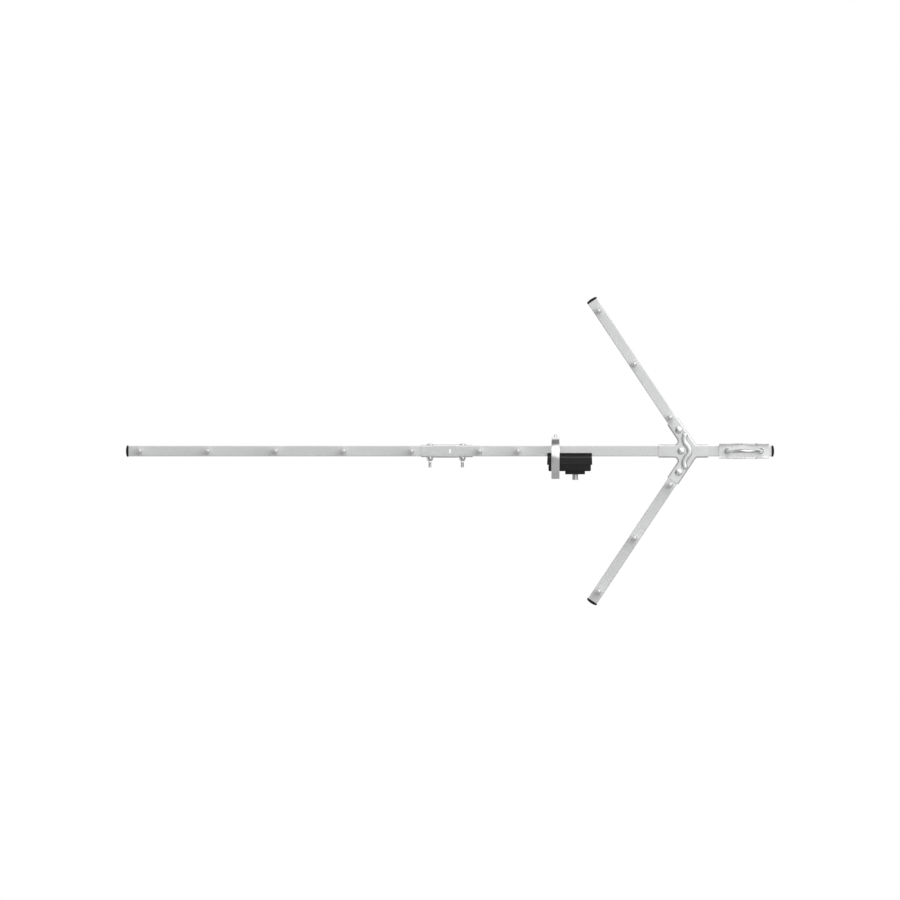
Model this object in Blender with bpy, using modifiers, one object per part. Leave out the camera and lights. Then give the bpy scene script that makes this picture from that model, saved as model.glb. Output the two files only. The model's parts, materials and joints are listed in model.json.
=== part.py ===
"""UHF corner-reflector yagi antenna for a vertical mast.

Frame: metres, +Z up. The origin is on the mast's axis at the height of the boom's middle.
The boom runs along X with its front tip at -X, and the rods lie along Y.
"""

import math

import bmesh
import bpy
from mathutils import Matrix, Vector

X, Y, Z = Vector((1, 0, 0)), Vector((0, 1, 0)), Vector((0, 0, 1))
MM = 0.001
GAP = 0.3 * MM  # between pieces that touch

# mast and clamp
MAST_RADIUS = 18.25 * MM
V_HALF_ANGLE = math.radians(60)
V_APEX_Y = MAST_RADIUS / math.sin(V_HALF_ANGLE)
CLAMP_HALF_LENGTH = 38.2 * MM
CLAMP_HALF_HEIGHT = 11.8 * MM
CLAMP_WALL = 2 * MM
CLAMP_DEPTH = 16 * MM
CLAMP_WEB_Y = V_APEX_Y + 2 * MM
TOOTH_PITCH = 2.6 * MM
TOOTH_COUNT = 6
TOOTH_DEPTH = 1.3 * MM
U_ROD = 3 * MM
U_LEG_X = 25.7 * MM
U_BEND_Y = U_LEG_X - MAST_RADIUS - U_ROD - GAP
M6_PROUD = 10 * MM
LEG_HOLE = 4 * MM
CLAMP_BEND = 2.4 * MM

# tubes
TUBE = 16 * MM
HALF = TUBE / 2
TUBE_WALL = 1 * MM
TUBE_CORNER = 1.2 * MM
BOOM_Y = CLAMP_WEB_Y + CLAMP_WALL + GAP + HALF
BOOM_TIP_X = -942 * MM
BOOM_TAIL_X = 42 * MM
BOOM_JOINT_X = -450 * MM
BOOM_JOINT_GAP = 3 * MM
CAP_DOME = 3.7 * MM
CAP_SIZE = 17.6 * MM
CAP_BEVEL = 2.4 * MM
PLUG_LENGTH = 8 * MM
PLUG_WALL = 1.5 * MM

# rods
ROD = 4 * MM
ROD_HOLE = 4.35 * MM
ROD_DOME = 2.4 * MM
DIRECTOR_PITCH = 104 * MM
DIRECTOR_TIP_X = -925 * MM
DIRECTORS_X = [DIRECTOR_TIP_X + i * DIRECTOR_PITCH for i in range(6)] + [-346 * MM]
DIRECTOR_TIP_LENGTH = 170 * MM
DIRECTOR_TAPER = 2.5 * MM
REFLECTOR_LENGTH = 330 * MM

# reflector arms, measured along each arm from where its axis meets the boom's
ARM_ROOT_X = -78.9 * MM
ARM_ANGLE = math.radians(56.25)
ARM_START = 17 * MM
ARM_END = 275.9 * MM
ARM_RODS = [62 * MM, 160.2 * MM, 258.4 * MM]
ARM_BOLT = 38.8 * MM

# corner bracket
BRACKET_FRONT_X = -131.1 * MM
BRACKET_REAR_X = -55.3 * MM
BRACKET_ARM_END = 54.8 * MM
BRACKET_HALF = 10.1 * MM
BRACKET_WALL = 1.6 * MM
BRACKET_DEPTH = 15 * MM
BRACKET_BOLT_X = -96.8 * MM
BRACKET_NEAR_Y = BOOM_Y - HALF - GAP - BRACKET_WALL
BEAD_WIDTH = 9 * MM
BEAD_HEIGHT = 2.2 * MM
FILLET = 5 * MM

# bolts, washers and wing nuts
M5 = 2.5 * MM
M5_HOLE = 2.9 * MM
M6_HOLE = 3.4 * MM
CUP_RADIUS = 5.7 * MM
CUP_HEIGHT = 2.3 * MM
WASHER = 0.8 * MM
M5_NUT = 4 * MM
M6_NUT = 5 * MM
M5_PROUD = 8 * MM
WING = 4.4 * MM  # thickness of a wing
EAR = 2.7 * MM  # radius of a wing's end

# splice
SLEEVE_FRONT_X = -494.4 * MM
SLEEVE_REAR_X = -415.5 * MM
SLEEVE_HALF = 9.3 * MM
SLEEVE_WALL = 1 * MM
SLEEVE_RISE = 0.8 * MM
SLEEVE_BEND = 2.2 * MM
SLEEVE_STEP = 3 * MM
SLEEVE_CLEAR = 8 * MM  # from a bolt to the bulge between the bolts
SLOT_HALF = Vector((1.2, 0, 3.3)) * MM
SPLICE_BOLTS_X = [-480.8 * MM, -431.1 * MM]
SPLICE_THREAD_Z = -25 * MM

# folded dipole
DIPOLE_X = -288.7 * MM
STRIP_WIDTH = 12.4 * MM
STRIP = 2 * MM
LOOP_TOP_Z = 22 * MM
LOOP_BOTTOM_Z = -42.7 * MM
LOOP_HALF_LENGTH = 118 * MM
TAB_Y = 12 * MM
TAB_TOP_Z = -22.9 * MM
TAB_REACH = 8 * MM
STRIP_BEND = 2 * MM
M4 = 2 * MM
M4_HOLE = 2.4 * MM
PAN_RADIUS = 2.6 * MM
PAN_HEIGHT = 3.4 * MM
SCREW_END_Z = -16.5 * MM
SPACER_RADIUS = 4.5 * MM
FOOT_HOLE = 1.9 * MM

# feed box
BOX_FRONT_X = -301 * MM
BOX_REAR_X = -232.9 * MM
BOX_HALF_Y = 19.4 * MM
BOX_FLARE = 0.6 * MM
BOX_WALL = 1.2 * MM
BOX_ROOF = 2.2 * MM
SADDLE_TOP_Z = -2.9 * MM
SADDLE_WALL = 3.2 * MM
COVER_TOP_Z = -HALF - GAP
SHOULDER_TOP_Z = -7.4 * MM
SHOULDER_Z = -7.9 * MM
SHOULDER_ROUND = 2.2 * MM
COVER_BOTTOM_Z = -21 * MM
SEAL_TOP_Z = -15.6 * MM
SEAL = 1.4 * MM
BASE_BOTTOM_Z = -30.8 * MM
BASE_INSET = 2 * MM
BASE_FLOOR = 2 * MM
BASE_BEVEL = 2 * MM
PAD_BOTTOM_Z = -35.6 * MM
PAD_FRONT_X = -273.9 * MM
PAD_REAR_X = -243.5 * MM
PAD_HALF_Y = 12 * MM
PAD_WALL = 2 * MM
POST_RADIUS = 1.8 * MM
POST_Y = 12.5 * MM
BOARD = 1.6 * MM
BOARD_HALF_Y = 14.6 * MM
CORE_X = -273 * MM
SEAL_WIDTH = 1.8 * MM
BOARD_BOTTOM_Z = TAB_TOP_Z + GAP
TERMINAL_Y = TAB_Y - 6 * MM

# F connector
SOCKET_X = -258.6 * MM
SOCKET_RADIUS = 4.75 * MM
SOCKET_END_Z = -44.2 * MM
SOCKET_BORE = 3.3 * MM
FLANGE_RADIUS = 7 * MM
FLANGE = 2 * MM
CONTACT_RADIUS = 0.6 * MM



# ---------------------------------------------------------------- scene and materials


def clear_scene():
    for obj in list(bpy.data.objects):
        bpy.data.objects.remove(obj)


def collection(name):
    made = bpy.data.collections.new(name)
    bpy.context.scene.collection.children.link(made)
    return made


def material(name, colour, roughness, metallic):
    made = bpy.data.materials.new(name)
    made.use_nodes = True
    shader = made.node_tree.nodes["Principled BSDF"]
    shader.inputs["Base Color"].default_value = (*colour, 1)
    shader.inputs["Roughness"].default_value = roughness
    shader.inputs["Metallic"].default_value = metallic
    made.diffuse_color = (*colour, 1)
    return made


clear_scene()
PARTS = collection("yagi_antenna")
CUTTERS = collection("cutters")
ALUMINIUM = material("aluminium", (0.62, 0.62, 0.63), 0.4, 1)
SHEET = material("zinc_plated_sheet", (0.6, 0.61, 0.62), 0.35, 1)
STEEL = material("zinc_plated_steel", (0.66, 0.67, 0.68), 0.25, 1)
STRIP_METAL = material("bright_aluminium", (0.75, 0.75, 0.76), 0.2, 1)
BLACK = material("black_plastic", (0.02, 0.02, 0.022), 0.45, 0)
CAP_BLACK = material("cap_plastic", (0.01, 0.01, 0.01), 0.5, 0)
RUBBER = material("seal_rubber", (0.05, 0.05, 0.05), 0.8, 0)
NICKEL = material("nickel", (0.7, 0.69, 0.66), 0.2, 1)
INSULATOR = material("white_insulator", (0.8, 0.8, 0.78), 0.5, 0)
BRASS = material("brass", (0.75, 0.58, 0.25), 0.3, 1)
BOARD_GREEN = material("board_laminate", (0.05, 0.2, 0.08), 0.5, 0)
FERRITE = material("ferrite", (0.06, 0.06, 0.065), 0.6, 0)


# ---------------------------------------------------------------- modelling helpers


def at(x, y, z):
    return Matrix.Translation((x, y, z))


def add(name, mesh, finish, frame=None):
    """A sub-part: an object of the antenna's collection, placed by its frame."""
    made = bpy.data.objects.new(name, mesh)
    PARTS.objects.link(made)
    made.matrix_basis = frame or Matrix()
    mesh.materials.clear()
    mesh.materials.append(finish)
    return made


def smooth(mesh):
    mesh.shade_smooth()
    mesh.set_sharp_from_angle(angle=math.radians(35))


def as_mesh(obj):
    """The object's evaluated shape as one mesh in its own frame, with loose caps welded; the object is removed."""
    bpy.context.view_layer.update()
    graph = bpy.context.evaluated_depsgraph_get()
    mesh = bpy.data.meshes.new_from_object(obj.evaluated_get(graph))
    mesh.transform(obj.matrix_world)
    work = bmesh.new()
    work.from_mesh(mesh)
    bmesh.ops.remove_doubles(work, verts=work.verts, dist=1e-6)
    bmesh.ops.recalc_face_normals(work, faces=work.faces)
    work.to_mesh(mesh)
    work.free()
    for modifier in obj.modifiers:
        if modifier.type == "BOOLEAN":
            bpy.data.objects.remove(modifier.object)
    bpy.data.objects.remove(obj)
    return mesh


def box_mesh(low, high):
    """A block between two corners."""
    low, high = Vector(low), Vector(high)
    work = bmesh.new()
    bmesh.ops.create_cube(work, size=1)
    bmesh.ops.scale(work, vec=high - low, verts=work.verts)
    bmesh.ops.translate(work, vec=(low + high) / 2, verts=work.verts)
    mesh = bpy.data.meshes.new("block")
    work.to_mesh(mesh)
    work.free()
    return mesh


def cylinder_mesh(radius, start, end, sides=16):
    """A round bar between two points."""
    start, end = Vector(start), Vector(end)
    run = end - start
    work = bmesh.new()
    bmesh.ops.create_cone(
        work, cap_ends=True, segments=sides, radius1=radius, radius2=radius, depth=run.length
    )
    turn = Z.rotation_difference(run).to_matrix().to_4x4()
    work.transform(Matrix.Translation((start + end) / 2) @ turn)
    mesh = bpy.data.meshes.new("bar")
    work.to_mesh(mesh)
    work.free()
    return mesh


def turned_mesh(profile, steps=16):
    """A shape turned about Z from (radius, z) points that run from top to bottom on the outer side."""
    mesh = bpy.data.meshes.new("profile")
    edges = [(i, i + 1) for i in range(len(profile) - 1)]
    if profile[0] == profile[-1]:
        edges[-1] = (len(profile) - 2, 0)
        profile = profile[:-1]
    mesh.from_pydata([(r, 0, z) for r, z in profile], edges, [])
    made = bpy.data.objects.new("turned", mesh)
    PARTS.objects.link(made)
    screw = made.modifiers.new("turn", "SCREW")
    screw.steps = screw.render_steps = steps
    screw.use_merge_vertices = True
    screw.merge_threshold = 1e-6
    return as_mesh(made)


def plate_mesh(outlines, start, end, across=Z):
    """Flat outlines of (u, v) points, filled and extruded from start to end along the axis `across`.

    For Z, u is X and v is Y. For Y, u is X and v is Z. For X, u is Y and v is Z.
    """
    curve = bpy.data.curves.new("outline", "CURVE")
    curve.dimensions = "2D"
    curve.fill_mode = "BOTH"
    curve.extrude = (end - start) / 2
    for outline in outlines:
        spline = curve.splines.new("POLY")
        spline.points.add(len(outline) - 1)
        spline.use_cyclic_u = True
        for point, (u, v) in zip(spline.points, outline):
            point.co = (u, v, 0, 1)
    made = bpy.data.objects.new("plate", curve)
    PARTS.objects.link(made)
    middle = (start + end) / 2
    if across == Z:
        made.matrix_world = Matrix.Translation(Z * middle)
    elif across == Y:
        made.matrix_world = Matrix.Translation(Y * middle) @ Matrix.Rotation(math.pi / 2, 4, "X")
    else:
        turn = Matrix(((0, 0, 1, 0), (1, 0, 0, 0), (0, 1, 0, 0), (0, 0, 0, 1)))
        made.matrix_world = Matrix.Translation(X * middle) @ turn
    return as_mesh(made)


def loft_mesh(rings):
    """A closed skin over rings of points that match one to one, with flat ends."""
    work = bmesh.new()
    loops = [[work.verts.new(point) for point in ring] for ring in rings]
    for low, high in zip(loops, loops[1:]):
        for i in range(len(low)):
            work.faces.new((low[i - 1], low[i], high[i], high[i - 1]))
    work.faces.new(loops[0])
    work.faces.new(loops[-1])
    bmesh.ops.recalc_face_normals(work, faces=work.faces)
    mesh = bpy.data.meshes.new("loft")
    work.to_mesh(mesh)
    work.free()
    return mesh


def merged(meshes):
    """Several meshes as one, each still its own body."""
    work = bmesh.new()
    for mesh in meshes:
        work.from_mesh(mesh)
    made = bpy.data.meshes.new("merged")
    work.to_mesh(made)
    work.free()
    return made


def boolean(obj, mesh, operation):
    """Cuts or joins a mesh, given in the object's own frame."""
    other = bpy.data.objects.new(f"{obj.name}_{operation.lower()}", mesh)
    CUTTERS.objects.link(other)
    other.matrix_basis = obj.matrix_basis
    other.hide_render = True
    other.display_type = "WIRE"
    modifier = obj.modifiers.new(operation.title(), "BOOLEAN")
    modifier.operation = operation
    modifier.solver = "EXACT"
    modifier.object = other


def cut(obj, mesh):
    boolean(obj, mesh, "DIFFERENCE")


def join(obj, mesh):
    boolean(obj, mesh, "UNION")


def arc(centre, radius, start, end, steps):
    """Points along an arc, with angles in degrees."""
    cx, cy = centre
    turns = [math.radians(start + (end - start) * i / steps) for i in range(steps + 1)]
    return [(cx + radius * math.cos(t), cy + radius * math.sin(t)) for t in turns]


def rectangle(low, high, radius=0.0, steps=2):
    """The outline of a rectangle with round corners."""
    (x0, y0), (x1, y1) = low, high
    if not radius:
        return [(x0, y0), (x1, y0), (x1, y1), (x0, y1)]
    points = []
    corners = ((x1, y1, 0), (x0, y1, 90), (x0, y0, 180), (x1, y0, 270))
    for x, y, turn in corners:
        inward = (x - math.copysign(radius, x - (x0 + x1) / 2), y - math.copysign(radius, y - (y0 + y1) / 2))
        points += arc(inward, radius, turn, turn + 90, steps)
    return points


def filleted(points, radii, steps=3):
    """A closed outline whose corners have these radii, 0 where a corner stays sharp."""
    made = []
    for i, (corner, radius) in enumerate(zip(points, radii)):
        corner = Vector(corner)
        if not radius:
            made.append(tuple(corner))
            continue
        back = (Vector(points[i - 1]) - corner).normalized()
        ahead = (Vector(points[(i + 1) % len(points)]) - corner).normalized()
        half = back.angle(ahead) / 2
        centre = corner + (back + ahead).normalized() * radius / math.sin(half)
        first = corner + back * radius / math.tan(half) - centre
        last = corner + ahead * radius / math.tan(half) - centre
        sweep = first.angle_signed(last)
        for step in range(steps + 1):
            turn = Matrix.Rotation(-sweep * step / steps, 2)
            made.append(tuple(centre + turn @ first))
    return made


def ribbon(path, width, round_ends=False):
    """The outline of a strip of this width along a path."""
    path = [Vector(p) for p in path]
    left, right = [], []
    for i, point in enumerate(path):
        ahead = path[min(i + 1, len(path) - 1)] - path[max(i - 1, 0)]
        across = Vector((-ahead.y, ahead.x)).normalized() * width / 2
        left.append(tuple(point + across))
        right.append(tuple(point - across))
    if not round_ends:
        return left + right[::-1]
    return left + round_end(path[-1], left[-1], width) + right[::-1] + round_end(path[0], right[0], width)


def round_end(centre, start, width, steps=4):
    """The half circle that closes a strip, clockwise from one side to the other, ends left out."""
    angle = math.degrees(math.atan2(start[1] - centre.y, start[0] - centre.x))
    return arc(centre, width / 2, angle, angle - 180, steps)[1:-1]


# ---------------------------------------------------------------- tubes and caps


def square_tube(name, length, frame, holes):
    """A square tube from its origin along +X, with holes given as meshes in its own frame."""
    outer = rectangle((-HALF, -HALF), (HALF, HALF), TUBE_CORNER)
    inside = HALF - TUBE_WALL
    inner = rectangle((-inside, -inside), (inside, inside))
    tube = add(name, plate_mesh([outer, inner], 0, length, X), ALUMINIUM, frame)
    cut(tube, merged(holes))


def side_hole(x, radius):
    return cylinder_mesh(radius, (x, -TUBE, 0), (x, TUBE, 0), 12)


def upright_hole(x, radius):
    return cylinder_mesh(radius, (x, 0, -TUBE), (x, 0, TUBE), 12)


def boom():
    front_end = BOOM_JOINT_X - BOOM_JOINT_GAP / 2
    rear_start = BOOM_JOINT_X + BOOM_JOINT_GAP / 2
    front_holes = [side_hole(x - BOOM_TIP_X, ROD_HOLE) for x in DIRECTORS_X if x < front_end]
    front_holes.append(upright_hole(SPLICE_BOLTS_X[0] - BOOM_TIP_X, M5_HOLE))
    square_tube("boom_front", front_end - BOOM_TIP_X, at(BOOM_TIP_X, BOOM_Y, 0), front_holes)
    rear_holes = [side_hole(x - rear_start, ROD_HOLE) for x in DIRECTORS_X if x > rear_start]
    rear_holes.append(side_hole(BRACKET_BOLT_X - rear_start, M5_HOLE))
    rear_holes += [side_hole(x - rear_start, M6_HOLE) for x in (-U_LEG_X, U_LEG_X)]
    rear_holes.append(upright_hole(SPLICE_BOLTS_X[1] - rear_start, M5_HOLE))
    rear_holes.append(upright_hole(DIPOLE_X - rear_start, M4_HOLE))
    square_tube("boom_rear", BOOM_TAIL_X - rear_start, at(rear_start, BOOM_Y, 0), rear_holes)


def cap_mesh():
    """A plug that closes a tube: a domed head outside and a hollow stem inside, along +X from the tube's end."""
    work = bmesh.new()
    side = CAP_SIZE / 2
    head = box_mesh((GAP, -side, -side), (CAP_DOME + GAP, side, side))
    work.from_mesh(head)
    front = [e for e in work.edges if any(v.co.x > CAP_DOME for v in e.verts)]
    bmesh.ops.bevel(work, geom=front, offset=CAP_BEVEL, segments=3, profile=0.6, affect="EDGES")
    work.to_mesh(head)
    work.free()
    made = bpy.data.objects.new("cap", head)
    PARTS.objects.link(made)
    stem = HALF - TUBE_WALL - GAP
    join(made, box_mesh((-PLUG_LENGTH, -stem, -stem), (CAP_DOME / 2, stem, stem)))
    room = stem - PLUG_WALL
    cut(made, box_mesh((-2 * PLUG_LENGTH, -room, -room), (-GAP, room, room)))
    return as_mesh(made)


def caps():
    mesh = cap_mesh()
    turned_round = Matrix.Rotation(math.pi, 4, "Z")
    add("boom_cap_front", mesh, CAP_BLACK, at(BOOM_TIP_X, BOOM_Y, 0) @ turned_round)
    add("boom_cap_rear", mesh, CAP_BLACK, at(BOOM_TAIL_X, BOOM_Y, 0))
    for side, sign in (("upper", 1), ("lower", -1)):
        add(f"arm_cap_{side}", mesh, CAP_BLACK, arm_frame(sign) @ at(ARM_END, 0, 0))


# ---------------------------------------------------------------- rods


def rod_mesh(length):
    """A round rod along Y with domed ends."""
    half = length / 2
    corner = [(ROD * math.cos(a), half - ROD_DOME + ROD_DOME * math.sin(a)) for a in (0, 0.8)]
    top = [(0, half)] + corner[::-1]
    profile = top + [(r, -z) for r, z in top[::-1]]
    mesh = turned_mesh(profile, 12)
    mesh.transform(Matrix.Rotation(math.pi / 2, 4, "X"))
    smooth(mesh)
    return mesh


def directors():
    for i, x in enumerate(DIRECTORS_X):
        mesh = rod_mesh(DIRECTOR_TIP_LENGTH + i * DIRECTOR_TAPER)
        add(f"director_{i + 1}", mesh, ALUMINIUM, at(x, BOOM_Y, 0))


# ---------------------------------------------------------------- reflector


def arm_frame(sign):
    """The frame of an arm: its own +X runs outward along it from where its axis meets the boom's."""
    return at(ARM_ROOT_X, BOOM_Y, 0) @ Matrix.Rotation(sign * (ARM_ANGLE - math.pi), 4, "Y")


def reflector():
    rod = rod_mesh(REFLECTOR_LENGTH)
    for side, sign in (("upper", 1), ("lower", -1)):
        holes = [side_hole(s - ARM_START, ROD_HOLE) for s in ARM_RODS]
        holes.append(side_hole(ARM_BOLT - ARM_START, M5_HOLE))
        frame = arm_frame(sign)
        square_tube(f"reflector_arm_{side}", ARM_END - ARM_START, frame @ at(ARM_START, 0, 0), holes)
        for i, s in enumerate(ARM_RODS, 1):
            add(f"reflector_rod_{side}_{i}", rod, ALUMINIUM, frame @ at(s, 0, 0))


def bracket_outline(half, reach):
    """The bracket's Y shape in X and Z, with open ends that reach this much further out."""
    along = Vector((-math.cos(ARM_ANGLE), math.sin(ARM_ANGLE)))
    outward = Vector((math.sin(ARM_ANGLE), math.cos(ARM_ANGLE)))
    root = Vector((ARM_ROOT_X, 0))
    end = root + along * (BRACKET_ARM_END + reach)
    rear_side = root + outward * half
    front_side = root - outward * half
    rear_corner = rear_side + along * (half - rear_side.y) / along.y
    front_corner = front_side + along * (half - front_side.y) / along.y
    upper = [
        (BRACKET_REAR_X + reach, half),
        tuple(rear_corner),
        tuple(end + outward * half),
        tuple(end - outward * half),
        tuple(front_corner),
        (BRACKET_FRONT_X - reach, half),
    ]
    radii = [0, FILLET, 0, 0, FILLET, 0]
    lower = [(x, -z) for x, z in upper[::-1]]
    return filleted(upper + lower, radii + radii[::-1])


def bracket_slab(half, reach, near, far):
    outline = bracket_outline(half, reach)
    return loft_mesh([[(x, y, z) for x, z in outline] for y in (near, far)])


def bead_path():
    """The stiffening bead's middle line, bowed rearward round the boom bolt."""
    half = [(-84, 0), (-84.2, 3), (-86, 6.5), (-88.8, 10), (-91, 13.5), (-92, 17), (-91.8, 20.5), (-91, 24)]
    upper = [(x * MM, z * MM) for x, z in half]
    return [(x, -z) for x, z in upper[:0:-1]] + upper


def bead_mesh():
    """The bead: a strip that narrows in steps as it rises from the bracket's near face."""
    steps = ((1, -BRACKET_WALL / 2), (0.9, BEAD_HEIGHT / 2), (0.5, BEAD_HEIGHT))
    rings = []
    for share, rise in steps:
        outline = ribbon(bead_path(), BEAD_WIDTH * share, round_ends=True)
        rings.append([(x, BRACKET_NEAR_Y - rise, z) for x, z in outline])
    return loft_mesh(rings)


def corner_bracket():
    far = BRACKET_NEAR_Y + BRACKET_DEPTH
    inside = BRACKET_NEAR_Y + BRACKET_WALL
    bracket = add("corner_bracket", bracket_slab(BRACKET_HALF, 0, BRACKET_NEAR_Y, far), SHEET)
    cut(bracket, bracket_slab(BRACKET_HALF - BRACKET_WALL, 5 * MM, inside, far + BRACKET_DEPTH))
    join(bracket, bead_mesh())
    near = BRACKET_NEAR_Y - TUBE
    bars = [cylinder_mesh(M5_HOLE, (x, near, z), (x, far, z), 12) for x, z in bracket_bolt_places().values()]
    cut(bracket, merged(bars))


def bracket_bolt_places():
    """Where the three bolts go, in X and Z."""
    up = ARM_ROOT_X - ARM_BOLT * math.cos(ARM_ANGLE)
    out = ARM_BOLT * math.sin(ARM_ANGLE)
    return {"boom": (BRACKET_BOLT_X, 0), "upper": (up, out), "lower": (up, -out)}


# ---------------------------------------------------------------- fasteners


def bolt_mesh(radius, length, cup, height):
    """A cup-head bolt: the head's seat at the origin, the head towards +Z, the shank down -Z."""
    dome = [(cup * math.cos(a), height * math.sin(a)) for a in (0.9, 0)]
    profile = [(0, height)] + dome + [(radius, 0), (radius, -length), (0, -length)]
    mesh = turned_mesh(profile, 12)
    smooth(mesh)
    return mesh


def washer_mesh(inner, outer):
    """A flat washer from the origin up +Z."""
    ring = [(outer, WASHER), (outer, 0), (inner, 0), (inner, WASHER), (outer, WASHER)]
    mesh = turned_mesh(ring, 12)
    smooth(mesh)
    return mesh


def wing_nut_mesh(bore, hub, height, span, rise):
    """A wing nut on the origin: hub up +Z, wings along X and rising above the hub."""
    made = bpy.data.objects.new("nut", turned_mesh([(0, height), (hub * 0.8, height), (hub, 0), (0, 0)], 12))
    PARTS.objects.link(made)
    wing = [(hub * 0.8, 0.8 * MM), (span - 2 * EAR, rise - 2.2 * EAR)]
    wing += arc((span - EAR, rise - EAR), EAR, -40, 150, 3)
    wing.append((hub * 0.8, height - 0.6 * MM))
    outline = wing + [(-x, z) for x, z in wing[::-1]]
    join(made, plate_mesh([outline], -WING / 2, WING / 2, Y))
    cut(made, cylinder_mesh(bore, (0, 0, -height), (0, 0, 2 * rise), 12))
    mesh = as_mesh(made)
    smooth(mesh)
    return mesh


M5_WASHER = washer_mesh(inner=M5_HOLE, outer=5.5 * MM)
M6_WASHER = washer_mesh(inner=3.35 * MM, outer=6.5 * MM)
M5_WING_NUT = wing_nut_mesh(bore=2.85 * MM, hub=5.3 * MM, height=M5_NUT, span=13.5 * MM, rise=9.2 * MM)
M6_WING_NUT = wing_nut_mesh(bore=3.35 * MM, hub=6.2 * MM, height=M6_NUT, span=15.5 * MM, rise=11 * MM)


def place(name, mesh, finish, point, direction, turn=0.0):
    """A fastener whose own +Z points along the direction, turned about it first."""
    if direction == -Z:
        swing = Matrix.Rotation(math.pi, 4, "X")
    else:
        swing = Z.rotation_difference(direction).to_matrix().to_4x4()
    add(name, mesh, finish, at(*point) @ swing @ Matrix.Rotation(turn, 4, "Z"))


def splice_fasteners():
    """Upright bolts with their heads on top and wing nuts below, wings across the boom."""
    head_z = SLEEVE_HALF + GAP
    bolt = bolt_mesh(M5, head_z - SPLICE_THREAD_Z, CUP_RADIUS, CUP_HEIGHT)
    washer_z = -SLEEVE_HALF - GAP
    nut_z = washer_z - WASHER - GAP
    for i, x in enumerate(SPLICE_BOLTS_X, 1):
        place(f"splice_bolt_{i}", bolt, STEEL, (x, BOOM_Y, head_z), Z)
        place(f"splice_washer_{i}", M5_WASHER, STEEL, (x, BOOM_Y, washer_z), -Z)
        place(f"splice_wing_nut_{i}", M5_WING_NUT, STEEL, (x, BOOM_Y, nut_z), -Z, math.pi / 2)


def bracket_fasteners():
    """Bolts from the near side, with washers and wing nuts on the far side, wings along the tubes."""
    head_y = BRACKET_NEAR_Y - GAP
    washer_y = BOOM_Y + HALF + GAP
    nut_y = washer_y + WASHER + GAP
    bolt = bolt_mesh(M5, nut_y + M5_NUT + M5_PROUD - head_y, CUP_RADIUS, CUP_HEIGHT)
    turns = {"boom": 0, "upper": ARM_ANGLE - math.pi, "lower": math.pi - ARM_ANGLE}
    for side, (x, z) in bracket_bolt_places().items():
        place(f"bracket_bolt_{side}", bolt, STEEL, (x, head_y, z), -Y)
        place(f"bracket_washer_{side}", M5_WASHER, STEEL, (x, washer_y, z), Y)
        place(f"bracket_wing_nut_{side}", M5_WING_NUT, STEEL, (x, nut_y, z), Y, turns[side])


# ---------------------------------------------------------------- splice


def sleeve_profile():
    """The sleeve's C section in Y and Z, open on the far side."""
    outer, inner = SLEEVE_HALF, SLEEVE_HALF - SLEEVE_WALL
    outline = [(-outer, -outer), (HALF, -outer), (HALF, -inner), (-inner, -inner)]
    outline += [(-inner, inner), (HALF, inner), (HALF, outer), (-outer, outer)]
    inside = SLEEVE_BEND / 3
    return filleted(outline, [SLEEVE_BEND, 0, 0, inside, inside, 0, 0, SLEEVE_BEND], 2)


def splice_sleeve():
    """The channel round the joint, its flanges bulged outward between the two bolts."""
    length = SLEEVE_REAR_X - SLEEVE_FRONT_X
    sleeve_mesh = plate_mesh([sleeve_profile()], 0, length, X)
    work = bmesh.new()
    work.from_mesh(sleeve_mesh)
    low = SPLICE_BOLTS_X[0] + SLEEVE_CLEAR - SLEEVE_FRONT_X
    high = SPLICE_BOLTS_X[1] - SLEEVE_CLEAR - SLEEVE_FRONT_X
    for x in (low - SLEEVE_STEP, low, high, high + SLEEVE_STEP):
        geometry = work.verts[:] + work.edges[:] + work.faces[:]
        bmesh.ops.bisect_plane(work, geom=geometry, plane_co=(x, 0, 0), plane_no=X)
    for vertex in work.verts:
        if low - 1e-6 < vertex.co.x < high + 1e-6 and abs(vertex.co.z) > HALF - GAP:
            vertex.co.z += math.copysign(SLEEVE_RISE, vertex.co.z)
    work.to_mesh(sleeve_mesh)
    work.free()
    sleeve = add("splice_sleeve", sleeve_mesh, SHEET, at(SLEEVE_FRONT_X, BOOM_Y, 0))
    bars = [upright_hole(x - SLEEVE_FRONT_X, M5_HOLE) for x in SPLICE_BOLTS_X]
    slot_x = BOOM_JOINT_X - SLEEVE_FRONT_X
    slot = box_mesh(Vector((slot_x, -TUBE, 0)) - SLOT_HALF, Vector((slot_x, 0, 0)) + SLOT_HALF)
    cut(sleeve, merged(bars + [slot]))


# ---------------------------------------------------------------- mast clamp


def notch_outline():
    """The toothed V that bites the mast, in X and Y, mouth first."""
    away = Vector((math.sin(V_HALF_ANGLE), -math.cos(V_HALF_ANGLE)))
    inward = Vector((math.cos(V_HALF_ANGLE), math.sin(V_HALF_ANGLE)))
    mouth_y = CLAMP_WEB_Y - 2 * CLAMP_DEPTH
    side = []
    for i in range(TOOTH_COUNT):
        peak = Vector((0, V_APEX_Y)) + away * (3 * MM + (i + 0.5) * TOOTH_PITCH)
        root = peak + away * TOOTH_PITCH / 2 + inward * TOOTH_DEPTH
        side += [tuple(peak), tuple(root)]
    out = Vector((0, V_APEX_Y)) + away * (3 * MM + (TOOTH_COUNT + 0.5) * TOOTH_PITCH)
    mouth = out + away * (out.y - mouth_y) / -away.y
    right = [(1.2 * MM, V_APEX_Y)] + side + [tuple(out), (mouth.x, mouth_y)]
    return right + [(-x, y) for x, y in right[::-1]]


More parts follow.
